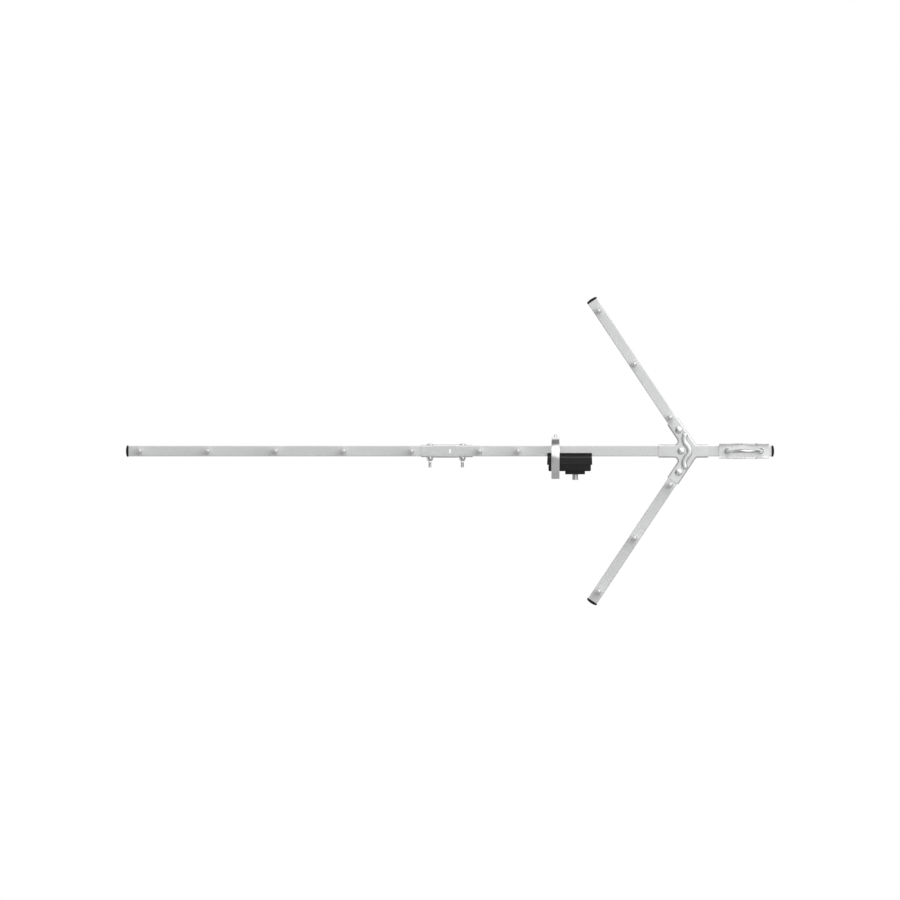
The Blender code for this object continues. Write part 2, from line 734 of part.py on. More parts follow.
def clamp_bracket():
    outer, inner = CLAMP_HALF_HEIGHT, CLAMP_HALF_HEIGHT - CLAMP_WALL
    back = CLAMP_WEB_Y + CLAMP_WALL
    tip = back - CLAMP_DEPTH
    section = [(tip, -outer), (back, -outer), (back, outer), (tip, outer)]
    section += [(tip, inner), (CLAMP_WEB_Y, inner), (CLAMP_WEB_Y, -inner), (tip, -inner)]
    bend, inside = CLAMP_BEND, CLAMP_BEND / 3
    section = filleted(section, [0, bend, bend, 0, 0, inside, inside, 0], 2)
    channel = plate_mesh([section], -CLAMP_HALF_LENGTH, CLAMP_HALF_LENGTH, X)
    bracket = add("clamp_bracket", channel, SHEET)
    cut(bracket, plate_mesh([notch_outline()], -TUBE, TUBE, Z))
    legs = [cylinder_mesh(LEG_HOLE, (x, 0, 0), (x, BOOM_Y, 0)) for x in (-U_LEG_X, U_LEG_X)]
    cut(bracket, merged(legs))


def u_bolt():
    """The U-bolt lies in the boom's middle plane, its bend in front of the mast and its legs through the boom."""
    end_y = BOOM_Y + HALF + 3 * GAP + WASHER + M6_NUT + M6_PROUD
    bend = arc((0, U_BEND_Y), U_LEG_X, 360, 180, 16)
    points = [(U_LEG_X, end_y)] + bend + [(-U_LEG_X, end_y)]
    curve = bpy.data.curves.new("u_bolt", "CURVE")
    curve.dimensions = "3D"
    curve.bevel_depth = U_ROD
    curve.bevel_resolution = 2
    curve.use_fill_caps = True
    spline = curve.splines.new("POLY")
    spline.points.add(len(points) - 1)
    for point, (x, y) in zip(spline.points, points):
        point.co = (x, y, 0, 1)
    made = bpy.data.objects.new("bent_rod", curve)
    PARTS.objects.link(made)
    mesh = as_mesh(made)
    smooth(mesh)
    add("u_bolt", mesh, STEEL)


def clamp_fasteners():
    washer_y = BOOM_Y + HALF + GAP
    nut_y = washer_y + WASHER + GAP
    for side, x in (("left", -U_LEG_X), ("right", U_LEG_X)):
        place(f"clamp_washer_{side}", M6_WASHER, STEEL, (x, washer_y, 0), Y)
        place(f"clamp_wing_nut_{side}", M6_WING_NUT, STEEL, (x, nut_y, 0), Y)


# ---------------------------------------------------------------- folded dipole


def dipole_path():
    """Half of the strip's middle line in Y and Z, from a feed tab round one end to the top's middle."""
    radius = (LOOP_TOP_Z - LOOP_BOTTOM_Z - STRIP) / 2
    middle_z = (LOOP_TOP_Z + LOOP_BOTTOM_Z) / 2
    end_y = LOOP_HALF_LENGTH - STRIP / 2 - radius
    tab_z = TAB_TOP_Z - STRIP / 2
    low_z = LOOP_BOTTOM_Z + STRIP / 2
    bend = STRIP_BEND
    path = [(TAB_Y - TAB_REACH, tab_z)]
    path += arc((TAB_Y - bend, tab_z - bend), bend, 90, 0, 3)
    path += arc((TAB_Y + bend, low_z + bend), bend, 180, 270, 3)
    path += arc((end_y, middle_z), radius, -90, 90, 10)
    return path


def folded_dipole():
    half = dipole_path()
    path = half + [(-y, z) for y, z in half[::-1]]
    strip = plate_mesh([ribbon(path, STRIP)], -STRIP_WIDTH / 2, STRIP_WIDTH / 2, X)
    dipole = add("folded_dipole", strip, STRIP_METAL, at(DIPOLE_X, BOOM_Y, 0))
    top = cylinder_mesh(M4_HOLE, (0, 0, 0), (0, 0, 2 * LOOP_TOP_Z), 12)
    feet = [
        cylinder_mesh(FOOT_HOLE, (0, y, -1.3 * TUBE), (0, y, -1.8 * TUBE), 12)
        for y in (-TERMINAL_Y, TERMINAL_Y)
    ]
    cut(dipole, merged([top] + feet))


def dipole_fixing():
    """The long screw through the loop, its spacer and the boom, and the nut in the feed box."""
    seat = LOOP_TOP_Z + GAP
    screw = bolt_mesh(M4, seat - SCREW_END_Z, PAN_RADIUS, PAN_HEIGHT)
    place("dipole_screw", screw, STEEL, (DIPOLE_X, BOOM_Y, seat), Z)
    top, bottom = LOOP_TOP_Z - STRIP - GAP, HALF + GAP
    inner, outer = M4_HOLE, SPACER_RADIUS
    ring = [(outer, top), (outer, bottom), (inner, bottom), (inner, top), (outer, top)]
    spacer = turned_mesh(ring, 14)
    smooth(spacer)
    add("dipole_spacer", spacer, ALUMINIUM, at(DIPOLE_X, BOOM_Y, 0))
    nut_top = COVER_TOP_Z - BOX_ROOF - GAP
    hexagon = cylinder_mesh(4 * MM, (0, 0, nut_top - 3.2 * MM), (0, 0, nut_top), 6)
    nut = add("dipole_nut", hexagon, STEEL, at(DIPOLE_X, BOOM_Y, 0))
    cut(nut, cylinder_mesh(M4 + 0.3 * MM, (0, 0, -2 * TUBE), (0, 0, 0), 12))


# ---------------------------------------------------------------- feed box


def drafted(mesh, top_z, bottom_z, flare):
    """Pushes the lower end of a shell outward, as a moulding's draft does."""
    xs = [v.co.x for v in mesh.vertices]
    middle = (min(xs) + max(xs)) / 2
    for vertex in mesh.vertices:
        share = min(max((top_z - vertex.co.z) / (top_z - bottom_z), 0), 1)
        vertex.co.x += math.copysign(flare * share, vertex.co.x - middle)
        if vertex.co.z < SHOULDER_Z:
            vertex.co.y += math.copysign(flare * share, vertex.co.y)
    return mesh


def box_cover():
    """The upper shell: two rails that cradle the boom, sloping shoulders and a flared skirt."""
    rail_in = HALF + GAP
    rail_out = rail_in + SADDLE_WALL
    half = [
        (rail_in, COVER_TOP_Z),
        (rail_in, SADDLE_TOP_Z),
        (rail_out, SADDLE_TOP_Z),
        (rail_out, SHOULDER_TOP_Z),
        *arc((BOX_HALF_Y - SHOULDER_ROUND, SHOULDER_Z - SHOULDER_ROUND), SHOULDER_ROUND, 90, 0, 3),
        (BOX_HALF_Y, COVER_BOTTOM_Z),
    ]
    section = half + [(-y, z) for y, z in half[::-1]]
    shell = drafted(plate_mesh([section], BOX_FRONT_X, BOX_REAR_X, X), COVER_TOP_Z, COVER_BOTTOM_Z, BOX_FLARE)
    cover = add("box_cover", shell, BLACK, at(0, BOOM_Y, 0))
    wall = BOX_WALL
    skirt = box_mesh(
        (BOX_FRONT_X + wall, wall - BOX_HALF_Y, COVER_BOTTOM_Z - wall),
        (BOX_REAR_X - wall, BOX_HALF_Y - wall, SEAL_TOP_Z),
    )
    inset = 2.4 * wall
    room = box_mesh(
        (BOX_FRONT_X + inset, inset - BOX_HALF_Y, SEAL_TOP_Z - wall),
        (BOX_REAR_X - inset, BOX_HALF_Y - inset, COVER_TOP_Z - BOX_ROOF),
    )
    hole = cylinder_mesh(M4_HOLE, (DIPOLE_X, 0, COVER_TOP_Z - 2 * BOX_ROOF), (DIPOLE_X, 0, 0), 12)
    for cutter in (skirt, room, hole):
        cut(cover, cutter)


def box_base():
    """The lower shell: a tray inside the cover's skirt, with a pad under the connector and posts for the board."""
    inset = BOX_WALL + GAP
    front, rear, side = BOX_FRONT_X + inset, BOX_REAR_X - inset, BOX_HALF_Y - inset
    top_z = SEAL_TOP_Z - SEAL - GAP
    tray = box_mesh((front, -side, BASE_BOTTOM_Z), (rear, side, top_z))
    work = bmesh.new()
    work.from_mesh(tray)
    low = [e for e in work.edges if min(v.co.z for v in e.verts) < BASE_BOTTOM_Z + 1e-6]
    bmesh.ops.bevel(work, geom=low, offset=BASE_BEVEL, segments=2, profile=0.5, affect="EDGES")
    work.to_mesh(tray)
    work.free()
    base = add("box_base", tray, BLACK, at(0, BOOM_Y, 0))
    wall, floor_z = BASE_INSET, BASE_BOTTOM_Z + BASE_FLOOR
    cut(base, box_mesh((front + wall, wall - side, floor_z), (rear - wall, side - wall, 0)))
    join(base, box_mesh((PAD_FRONT_X, -PAD_HALF_Y, PAD_BOTTOM_Z), (PAD_REAR_X, PAD_HALF_Y, floor_z - 1 * MM)))
    low_corner = (PAD_FRONT_X + PAD_WALL, PAD_WALL - PAD_HALF_Y, PAD_BOTTOM_Z + PAD_WALL)
    high_corner = (PAD_REAR_X - PAD_WALL, PAD_HALF_Y - PAD_WALL, floor_z + 1 * MM)
    cut(base, box_mesh(low_corner, high_corner))
    posts = []
    for x in (DIPOLE_X + 11.5 * MM, rear - 7 * MM):
        for y in (-POST_Y, POST_Y):
            posts.append(cylinder_mesh(POST_RADIUS, (x, y, floor_z - 1 * MM), (x, y, BOARD_BOTTOM_Z - GAP), 8))
    join(base, merged(posts))
    slots = []
    for y in (-TAB_Y, TAB_Y):
        low_corner = (DIPOLE_X - STRIP_WIDTH / 2 - 2 * GAP, y - STRIP / 2 - 2 * GAP, 2 * BASE_BOTTOM_Z)
        high_corner = (DIPOLE_X + STRIP_WIDTH / 2 + 2 * GAP, y + STRIP / 2 + 2 * GAP, floor_z + 1 * MM)
        slots.append(box_mesh(low_corner, high_corner))
    neck = SOCKET_RADIUS + 2 * GAP
    slots.append(cylinder_mesh(neck, (SOCKET_X, 0, 2 * BASE_BOTTOM_Z), (SOCKET_X, 0, floor_z)))
    cut(base, merged(slots))


def box_seal():
    inset = BOX_WALL + 2 * GAP
    front, rear, side = BOX_FRONT_X + inset, BOX_REAR_X - inset, BOX_HALF_Y - inset
    width = SEAL_WIDTH
    outer = rectangle((front, -side), (rear, side))
    inner = rectangle((front + width, width - side), (rear - width, side - width))
    ring = plate_mesh([outer, inner], SEAL_TOP_Z - SEAL, SEAL_TOP_Z - GAP, Z)
    add("box_seal", ring, RUBBER, at(0, BOOM_Y, 0))


def balun():
    """The board on the base's posts and the two-hole ferrite core on it."""
    inset = BOX_WALL + BASE_INSET + 4 * GAP
    front, rear = BOX_FRONT_X + inset, BOX_REAR_X - inset
    outline = rectangle((front, -BOARD_HALF_Y), (rear, BOARD_HALF_Y), 1.5 * MM)
    top_z = BOARD_BOTTOM_Z + BOARD
    laminate = plate_mesh([outline], BOARD_BOTTOM_Z, top_z, Z)
    board = add("balun_board", laminate, BOARD_GREEN, at(0, BOOM_Y, 0))
    places = [(DIPOLE_X, -TERMINAL_Y, FOOT_HOLE), (DIPOLE_X, TERMINAL_Y, FOOT_HOLE), (SOCKET_X, 0, 1 * MM)]
    holes = [cylinder_mesh(r, (x, y, 2 * top_z), (x, y, 0), 12) for x, y, r in places]
    cut(board, merged(holes))
    core_z = top_z + GAP
    height = 6 * MM
    section = rectangle((-6.5 * MM, core_z), (6.5 * MM, core_z + height), 2.4 * MM, 3)
    holes = [arc((y, core_z + height / 2), 1.5 * MM, 0, 330, 11) for y in (-2.9 * MM, 2.9 * MM)]
    add("balun_core", plate_mesh([section] + holes, -5 * MM, 5 * MM, X), FERRITE, at(CORE_X, BOOM_Y, 0))


def terminal_screws():
    seat = BOARD_BOTTOM_Z + BOARD + GAP
    screw = bolt_mesh(1.5 * MM, 6 * MM, 2.8 * MM, 1.8 * MM)
    for side, y in (("left", -TERMINAL_Y), ("right", TERMINAL_Y)):
        place(f"terminal_screw_{side}", screw, BRASS, (DIPOLE_X, BOOM_Y + y, seat), Z)


def f_connector():
    """The socket: a flange inside the pad, a barrel that goes down through it, and its insulator and contact."""
    seat = PAD_BOTTOM_Z + PAD_WALL + GAP
    flange_top = seat + FLANGE
    flange, barrel, bore = FLANGE_RADIUS, SOCKET_RADIUS, SOCKET_BORE
    ring = [(flange, flange_top), (flange, seat), (barrel, seat), (barrel, SOCKET_END_Z)]
    ring += [(bore, SOCKET_END_Z), (bore, flange_top), (flange, flange_top)]
    body = turned_mesh(ring, 16)
    smooth(body)
    add("f_connector", body, NICKEL, at(SOCKET_X, BOOM_Y, 0))
    outer, inner = bore - GAP, 1 * MM
    low, high = SOCKET_END_Z + 1 * MM, flange_top
    ring = [(outer, high), (outer, low), (inner, low), (inner, high), (outer, high)]
    plug = turned_mesh(ring, 12)
    smooth(plug)
    add("connector_insulator", plug, INSULATOR, at(SOCKET_X, BOOM_Y, 0))
    top = BOARD_BOTTOM_Z + BOARD + 1 * MM
    pin = cylinder_mesh(CONTACT_RADIUS, (0, 0, low + 1 * MM), (0, 0, top), 10)
    add("connector_contact", pin, BRASS, at(SOCKET_X, BOOM_Y, 0))


# ---------------------------------------------------------------- the antenna

boom()
caps()
directors()
reflector()
corner_bracket()
bracket_fasteners()
splice_sleeve()
splice_fasteners()
clamp_bracket()
u_bolt()
clamp_fasteners()
folded_dipole()
dipole_fixing()
box_cover()
box_base()
box_seal()
balun()
terminal_screws()
f_connector()
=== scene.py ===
"""The looks of the UHF yagi antenna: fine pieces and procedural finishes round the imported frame.

The camera is square to the antenna's side, with its front tip at the left.
"""

import json
import math

import bmesh
import bpy
from mathutils import Matrix, Vector

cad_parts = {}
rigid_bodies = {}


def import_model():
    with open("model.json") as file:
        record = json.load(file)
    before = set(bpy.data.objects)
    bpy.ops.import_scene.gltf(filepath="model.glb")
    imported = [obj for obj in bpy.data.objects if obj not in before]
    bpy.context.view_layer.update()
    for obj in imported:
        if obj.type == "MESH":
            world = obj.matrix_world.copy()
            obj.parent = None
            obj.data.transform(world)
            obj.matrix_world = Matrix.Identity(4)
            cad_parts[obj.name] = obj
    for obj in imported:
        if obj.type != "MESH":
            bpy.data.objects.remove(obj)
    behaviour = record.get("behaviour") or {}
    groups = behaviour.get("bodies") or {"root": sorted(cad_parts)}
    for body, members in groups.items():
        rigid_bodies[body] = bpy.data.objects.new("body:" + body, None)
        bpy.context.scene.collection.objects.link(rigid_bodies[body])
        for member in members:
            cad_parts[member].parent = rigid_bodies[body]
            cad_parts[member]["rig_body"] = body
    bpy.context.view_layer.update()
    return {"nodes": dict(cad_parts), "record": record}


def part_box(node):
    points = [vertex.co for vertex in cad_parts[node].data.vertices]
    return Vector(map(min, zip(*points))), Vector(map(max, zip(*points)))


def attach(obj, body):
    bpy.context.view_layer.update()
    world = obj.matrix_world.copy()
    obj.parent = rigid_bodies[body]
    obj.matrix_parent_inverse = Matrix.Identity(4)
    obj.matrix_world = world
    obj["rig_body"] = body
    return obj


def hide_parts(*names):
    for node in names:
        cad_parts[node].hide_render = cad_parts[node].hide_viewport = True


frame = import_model()

MM = 0.001
Y, Z = Vector((0, 1, 0)), Vector((0, 0, 1))
ROUND = 48  # sides of a round piece
THREAD_SIDES = 32  # sides of a threaded one
SHARP = math.radians(32)  # edges steeper than this shade sharp
WELD = 0.002 * MM  # vertices nearer than this are one
HOLE_EASE = 0.25 * MM  # the broken edge of a hole
QUARTER = math.pi / 2

# screws: radius and pitch
M4, M4_PITCH = 2 * MM, 0.7 * MM
M5, M5_PITCH = 2.5 * MM, 0.8 * MM
M6, M6_PITCH = 3 * MM, 1 * MM
SOCKET_PITCH = 0.794 * MM  # the F socket's 32 turns to the inch
THREAD_STEPS = 8  # rows in one pitch
THREAD_DEPTH = 0.36  # share of the pitch
THREAD_CHAMFER = 0.6  # share of the pitch

# fastener forms
CUP_RADIUS, CUP_HEIGHT = 5.7 * MM, 2.3 * MM
STUD_THREAD = 16 * MM
WING = 4.4 * MM  # thickness of a wing
EAR = 2.7 * MM  # radius of a wing's end
M5_HUB, M6_HUB = (5.3 * MM, 4 * MM), (6.2 * MM, 5 * MM)  # a wing nut's hub: radius and height
SEAT = 0.25 * MM  # how far a fastener's face sits into the frame's clearance
NUT_FIT = 0.1 * MM  # a nut's bore round its screw
CLOSE_FIT = 0.3 * MM  # a hole round its bolt in sheet metal or a tube's top
LOOSE_FIT = 0.4 * MM  # and in a tube's side, a moulding or a thin washer
THICK_WASHER_FIT = 0.2 * MM

SLOTS = {s["node"]: s["material_slot"] for s in frame["record"]["subparts"]}


# ---- places read from the frame


def centre(node):
    low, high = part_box(node)
    return (low + high) / 2


def extent(node):
    low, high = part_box(node)
    return high - low


BOOM = centre("boom_front")
TUBE = extent("boom_front").z
HALF = TUBE / 2
ARM_INNER, ARM_OUTER = centre("reflector_rod_upper_1"), centre("reflector_rod_upper_3")
ARM_ALONG = (ARM_OUTER - ARM_INNER).normalized()
ARM_ROOT = ARM_INNER - ARM_ALONG * (ARM_INNER.z - BOOM.z) / ARM_ALONG.z
ARM_ANGLE = math.atan2(ARM_ALONG.z, -ARM_ALONG.x)


def arm_frame(sign):
    """The frame of an arm: its +X runs outward along it from where its axis meets the boom's."""
    return Matrix.Translation(ARM_ROOT) @ Matrix.Rotation(sign * (ARM_ANGLE - math.pi), 4, "Y")


def arm_reach(node, half):
    """How far along its arm a piece of this half width ends."""
    return (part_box(node)[1].z - half * math.cos(ARM_ANGLE)) / math.sin(ARM_ANGLE)


def at(x, y, z):
    return Matrix.Translation((x, y, z))


def facing(point, direction, turn=0.0):
    """A frame at a point whose +Z runs along the direction, turned about it first."""
    if direction == -Z:
        swing = Matrix.Rotation(math.pi, 4, "X")
    else:
        swing = Z.rotation_difference(direction).to_matrix().to_4x4()
    return Matrix.Translation(point) @ swing @ Matrix.Rotation(turn, 4, "Z")


# ---- mesh tools


def finished(work):
    bmesh.ops.recalc_face_normals(work, faces=work.faces)
    mesh = bpy.data.meshes.new("shape")
    work.to_mesh(mesh)
    work.free()
    return mesh


def skin(work, low, high):
    """Faces between two rings of vertices; a ring of one vertex is a pole."""
    for i in range(max(len(low), len(high))):
        a, b = (i - 1) % len(low), i % len(low)
        c, d = i % len(high), (i - 1) % len(high)
        work.faces.new(list(dict.fromkeys([low[a], low[b], high[c], high[d]])))


def skinned(work, rings):
    """Adds a skin over matching rings of points, and gives back their vertices."""
    rows = [[work.verts.new(point) for point in ring] for ring in rings]
    for low, high in zip(rows, rows[1:]):
        skin(work, low, high)
    return rows


def loft(rings, loop=False):
    """A closed skin over rings; a loop joins its last ring to its first."""
    work = bmesh.new()
    rows = skinned(work, rings)
    if loop:
        skin(work, rows[-1], rows[0])
    else:
        for row in (rows[0], rows[-1]):
            if len(row) > 1:
                work.faces.new(row)
    return finished(work)


def circle(radius, z, steps=ROUND):
    if not radius:
        return [(0, 0, z)]
    turns = [math.tau * i / steps for i in range(steps)]
    return [(radius * math.cos(t), radius * math.sin(t), z) for t in turns]


def turned(profile, steps=ROUND):
    """A shape turned about Z from (radius, z) points; a profile that ends where it starts is a ring."""
    loop = profile[0] == profile[-1]
    rings = [circle(r, z, steps) for r, z in (profile[:-1] if loop else profile)]
    return loft(rings, loop)


def moved(mesh, matrix):
    mesh.transform(matrix)
    return mesh


def merged(*meshes):
    work = bmesh.new()
    for mesh in meshes:
        work.from_mesh(mesh)
    return finished(work)


def added(name, data):
    """A new object in the scene."""
    made = bpy.data.objects.new(name, data)
    bpy.context.scene.collection.objects.link(made)
    return made


def applied(mesh, kind, **values):
    """The mesh after one modifier."""
    made = added("work", mesh)
    modifier = made.modifiers.new("change", kind)
    for key, value in values.items():
        setattr(modifier, key, value)
    bpy.context.view_layer.update()
    graph = bpy.context.evaluated_depsgraph_get()
    changed = bpy.data.meshes.new_from_object(made.evaluated_get(graph))
    bpy.data.objects.remove(made)
    return changed


def cleaned(mesh):
    """The mesh without the slivers that a Boolean leaves."""
    work = bmesh.new()
    work.from_mesh(mesh)
    bmesh.ops.remove_doubles(work, verts=work.verts, dist=WELD)
    bmesh.ops.dissolve_degenerate(work, edges=work.edges, dist=WELD)
    return finished(work)


def carved(mesh, tool, operation="DIFFERENCE"):
    other = added("tool", tool)
    changed = applied(mesh, "BOOLEAN", operation=operation, solver="EXACT", object=other)
    bpy.data.objects.remove(other)
    return cleaned(changed)


def eased(mesh, width, segments, limit):
    """The mesh with its edges rounded where they turn by more than this limit in degrees."""
    return applied(
        mesh,
        "BEVEL",
        width=width,
        segments=segments,
        limit_method="ANGLE",
        angle_limit=math.radians(limit),
        miter_outer="MITER_ARC",
    )


def block(low, high):
    """A box between two corners, ready to be eased."""
    low, high = Vector(low), Vector(high)
    work = bmesh.new()
    bmesh.ops.create_cube(work, size=1)
    bmesh.ops.scale(work, vec=high - low, verts=work.verts)
    bmesh.ops.translate(work, vec=(low + high) / 2, verts=work.verts)
    return finished(work)


def drill(radius, reach):
    """A cutter along Z that breaks the hole's edges at the faces, this far from the middle."""
    out = reach + MM
    mouth = radius + HOLE_EASE + MM
    upper = [(0, out), (mouth, out), (radius, reach - HOLE_EASE)]
    return turned(upper + [(r, -z) for r, z in upper[::-1]])


# ---- outlines


def arc(middle, radius, start, end, steps):
    """Points along an arc, with angles in degrees."""
    turns = [math.radians(start + (end - start) * i / steps) for i in range(steps + 1)]
    return [(middle[0] + radius * math.cos(t), middle[1] + radius * math.sin(t)) for t in turns]


def filleted(points, radii, steps=5):
    """An outline whose corners have these radii, 0 where a corner stays sharp."""
    made = []
    for i, (corner, radius) in enumerate(zip(points, radii)):
        corner = Vector(corner)
        if not radius:
            made.append(tuple(corner))
            continue
        back = (Vector(points[i - 1]) - corner).normalized()
        ahead = (Vector(points[(i + 1) % len(points)]) - corner).normalized()
        half = back.angle(ahead) / 2
        middle = corner + (back + ahead).normalized() * radius / math.sin(half)
        first = corner + back * radius / math.tan(half) - middle
        last = corner + ahead * radius / math.tan(half) - middle
        sweep = first.angle_signed(last)
        for step in range(steps + 1):
            made.append(tuple(middle + Matrix.Rotation(-sweep * step / steps, 2) @ first))
    return made


def square(half, corner, steps=6):
    """A square with round corners, as (u, v) points."""
    inner = half - corner
    points = []
    for k, (u, v) in enumerate(((inner, inner), (-inner, inner), (-inner, -inner), (inner, -inner))):
        points += arc((u, v), corner, 90 * k, 90 * k + 90, steps)
    return points


def smooth_path(points, steps):
    """A Catmull-Rom curve through the points."""
    points = [Vector(p) for p in points]
    ends = [points[0] * 2 - points[1]] + points + [points[-1] * 2 - points[-2]]
    made = []
    for a, b, c, d in zip(ends, ends[1:], ends[2:], ends[3:]):
        for i in range(steps):
            t = i / steps
            bend = (a * 2 - b * 5 + c * 4 - d) * t * t + (b * 3 - a - c * 3 + d) * t**3
            made.append((b * 2 + (c - a) * t + bend) / 2)
    return made + [points[-1]]


def ribbon(path, width, steps=8):
    """The outline of a strip of this width along a path, with round ends."""
    left, right = [], []
    for i, point in enumerate(path):
        ahead = path[min(i + 1, len(path) - 1)] - path[max(i - 1, 0)]
        across = Vector((-ahead.y, ahead.x)).normalized() * width / 2
        left.append(point + across)
        right.append(point - across)
    outline = list(left)
    for middle, start in ((path[-1], left[-1]), (path[0], right[0])):
        angle = math.degrees(math.atan2(start.y - middle.y, start.x - middle.x))
        outline += arc(middle, width / 2, angle, angle - 180, steps)[1:-1]
        outline += right[::-1] if middle is path[-1] else []
    return outline


# ---- finishes


def shader_node(tree, kind, inputs, **values):
    """A node whose inputs are linked to the outputs, or set to the numbers, that they are given."""
    made = tree.nodes.new(kind)
    for key, value in values.items():
        setattr(made, key, value)
    for key, value in inputs.items():
        if isinstance(value, bpy.types.NodeSocket):
            tree.links.new(value, made.inputs[key])
        else:
            made.inputs[key].default_value = value
    return made


class Finish:
    """A material on one Principled shader, whose textures are in the piece's own metres."""

    def __init__(self, name, metallic):
        self.material = bpy.data.materials.new(name)
        self.material.use_nodes = True
        self.tree = self.material.node_tree
        self.shader = self.tree.nodes["Principled BSDF"]
        self.shader.inputs["Metallic"].default_value = metallic
        self.place = self.tree.nodes.new("ShaderNodeTexCoord").outputs["Object"]

    def feed(self, name, output):
        self.tree.links.new(output, self.shader.inputs[name])

    def noise(self, stretch, detail=3.0, roughness=0.55):
        """A cloud texture with this many lumps a metre along each axis."""
        mapping = shader_node(self.tree, "ShaderNodeMapping", {"Scale": stretch, "Vector": self.place})
        inputs = {"Scale": 1, "Detail": detail, "Roughness": roughness}
        inputs["Vector"] = mapping.outputs["Vector"]
        return shader_node(self.tree, "ShaderNodeTexNoise", inputs).outputs["Fac"]

    def spread(self, value, low, high, start=0.3, end=0.7):
        """A texture value from start to end, as a number from low to high."""
        inputs = {"Value": value, "From Min": start, "From Max": end, "To Min": low, "To Max": high}
        return shader_node(self.tree, "ShaderNodeMapRange", inputs).outputs["Result"]

    def sum(self, total, *values):
        for value in values:
            inputs = {0: total, 1: value}
            total = shader_node(self.tree, "ShaderNodeMath", inputs, operation="ADD").outputs[0]
        return total

    def colour(self, share, dark, light):
        inputs = {"Factor": share, "A": (*dark, 1), "B": (*light, 1)}
        made = shader_node(self.tree, "ShaderNodeMix", inputs, data_type="RGBA")
        self.feed("Base Color", made.outputs["Result"])

    def bump(self, height, depth, strength=1.0):
        inputs = {"Strength": strength, "Distance": depth, "Height": height}
        made = shader_node(self.tree, "ShaderNodeBump", inputs)
        self.feed("Normal", made.outputs["Normal"])


def scaled(colour, share):
    return tuple(c * share for c in colour)


def metal(name, colour, roughness, grain, clouds, contrast=0.05, depth=0.0016 * MM):
    """Metal with drawn or rolled grain, clouds of oxide or plating, and fine handling scratches."""
    made = Finish(name, 1)
    lines = made.noise(grain, 2)
    patches = made.noise(clouds)
    nicks = made.noise(tuple(g * 0.2 + 90 for g in grain[::-1]))
    shade = made.sum(
        made.spread(lines, 0, 0.35),
        made.spread(patches, 0, 0.5),
        made.spread(nicks, 0, 0.15, 0.45, 0.6),
    )
    made.colour(shade, scaled(colour, 1 - contrast), colour)
    rough = made.sum(
        made.spread(lines, roughness - 0.03, roughness + 0.03),
        made.spread(patches, -0.03, 0.04),
        made.spread(nicks, 0.03, -0.01, 0.62, 0.7),
    )
    made.feed("Roughness", rough)
    made.bump(made.sum(lines, made.spread(nicks, 0, -0.35, 0.62, 0.78)), depth)
    return made.material


def plastic(name, colour, roughness, grain=3200, depth=0.01 * MM, contrast=0.25, specular=0.5):
    """Moulded plastic: a fine eroded texture, slow changes of gloss and a little dust."""
    made = Finish(name, 0)
    made.shader.inputs["Specular IOR Level"].default_value = specular
    pebbles = made.noise((grain,) * 3, 2, 0.5)
    flow = made.noise((38, 60, 60))
    dust = made.noise((420, 420, 420), 4, 0.7)
    shade = made.sum(made.spread(flow, 0, 0.6), made.spread(dust, 0, 0.4, 0.55, 0.75))
    made.colour(shade, colour, tuple(c * (1 + contrast) + 0.002 for c in colour))
    gloss = made.spread(flow, roughness - 0.05, roughness + 0.05)
    made.feed("Roughness", made.sum(gloss, made.spread(pebbles, 0, 0.05)))
    made.bump(pebbles, depth, 0.6)
    return made.material


# textures as lumps a metre along X, Y and Z
ALONG_X, ALONG_Z, ROUND_LOOP = (14, 2200, 2200), (2200, 2200, 14), (2200, 14, 14)
SHEET_GRAIN, SHEET_CLOUDS = (90, 900, 900), (90, 90, 90)
PLATED_GRAIN, PLATED_CLOUDS = (300, 300, 300), (120, 120, 120)
FINE_CLOUDS, STRIP_CLOUDS = (150, 150, 150), (40, 25, 25)
BRIGHT, BOX_BLACK = (0.89, 0.89, 0.895), (0.0055, 0.0055, 0.0057)
FINISHES = {
    "aluminium_tube": metal("extruded_aluminium", (0.83, 0.835, 0.835), 0.42, ALONG_X, (9, 60, 60)),
    "aluminium_rod": metal("drawn_aluminium", (0.84, 0.84, 0.845), 0.54, ALONG_Z, (60, 60, 14)),
    "aluminium_strip": metal("bright_rolled_aluminium", BRIGHT, 0.17, ROUND_LOOP, STRIP_CLOUDS),
    "plated_sheet": metal("zinc_plated_sheet", (0.86, 0.865, 0.865), 0.36, SHEET_GRAIN, SHEET_CLOUDS),
    "plated_steel": metal("zinc_plated_steel", (0.88, 0.885, 0.885), 0.24, PLATED_GRAIN, PLATED_CLOUDS),
    "nickel": metal("nickel_plating", (0.79, 0.785, 0.775), 0.22, (900, 900, 900), FINE_CLOUDS),
    "brass": metal("brass", (0.78, 0.58, 0.28), 0.25, PLATED_GRAIN, FINE_CLOUDS, 0.1),
    "cap_plastic": plastic("cap_plastic", (0.004, 0.004, 0.004), 0.42, specular=0.3),
    "box_plastic": plastic("box_plastic", BOX_BLACK, 0.24, 2600, 0.006 * MM, specular=0.36),
    "seal_rubber": plastic("seal_rubber", (0.030, 0.030, 0.031), 0.75),
    "board_laminate": plastic("board_laminate", (0.03, 0.16, 0.06), 0.35, 900, 0.01 * MM, 0.5),
    "ferrite": plastic("ferrite", (0.045, 0.045, 0.05), 0.55, 1500, 0.03 * MM, 0.4),
    "white_insulator": plastic("white_insulator", (0.78, 0.78, 0.75), 0.4, 2000, 0.01 * MM, 0.04),
}
# two zinc-plated pieces with painted light: their base colour is brighter than the others of their
# slots, to brighten the clamp's shaded web and the U-bolt
SHEET_WITH_PAINTED_LIGHT = metal("zinc_plated_sheet_painted_light", (0.92, 0.925, 0.925), 0.36, SHEET_GRAIN, SHEET_CLOUDS)
ROD_WITH_PAINTED_LIGHT = metal("zinc_plated_rod_painted_light", (0.92, 0.925, 0.925), 0.22, (700, 700, 700), PLATED_CLOUDS)


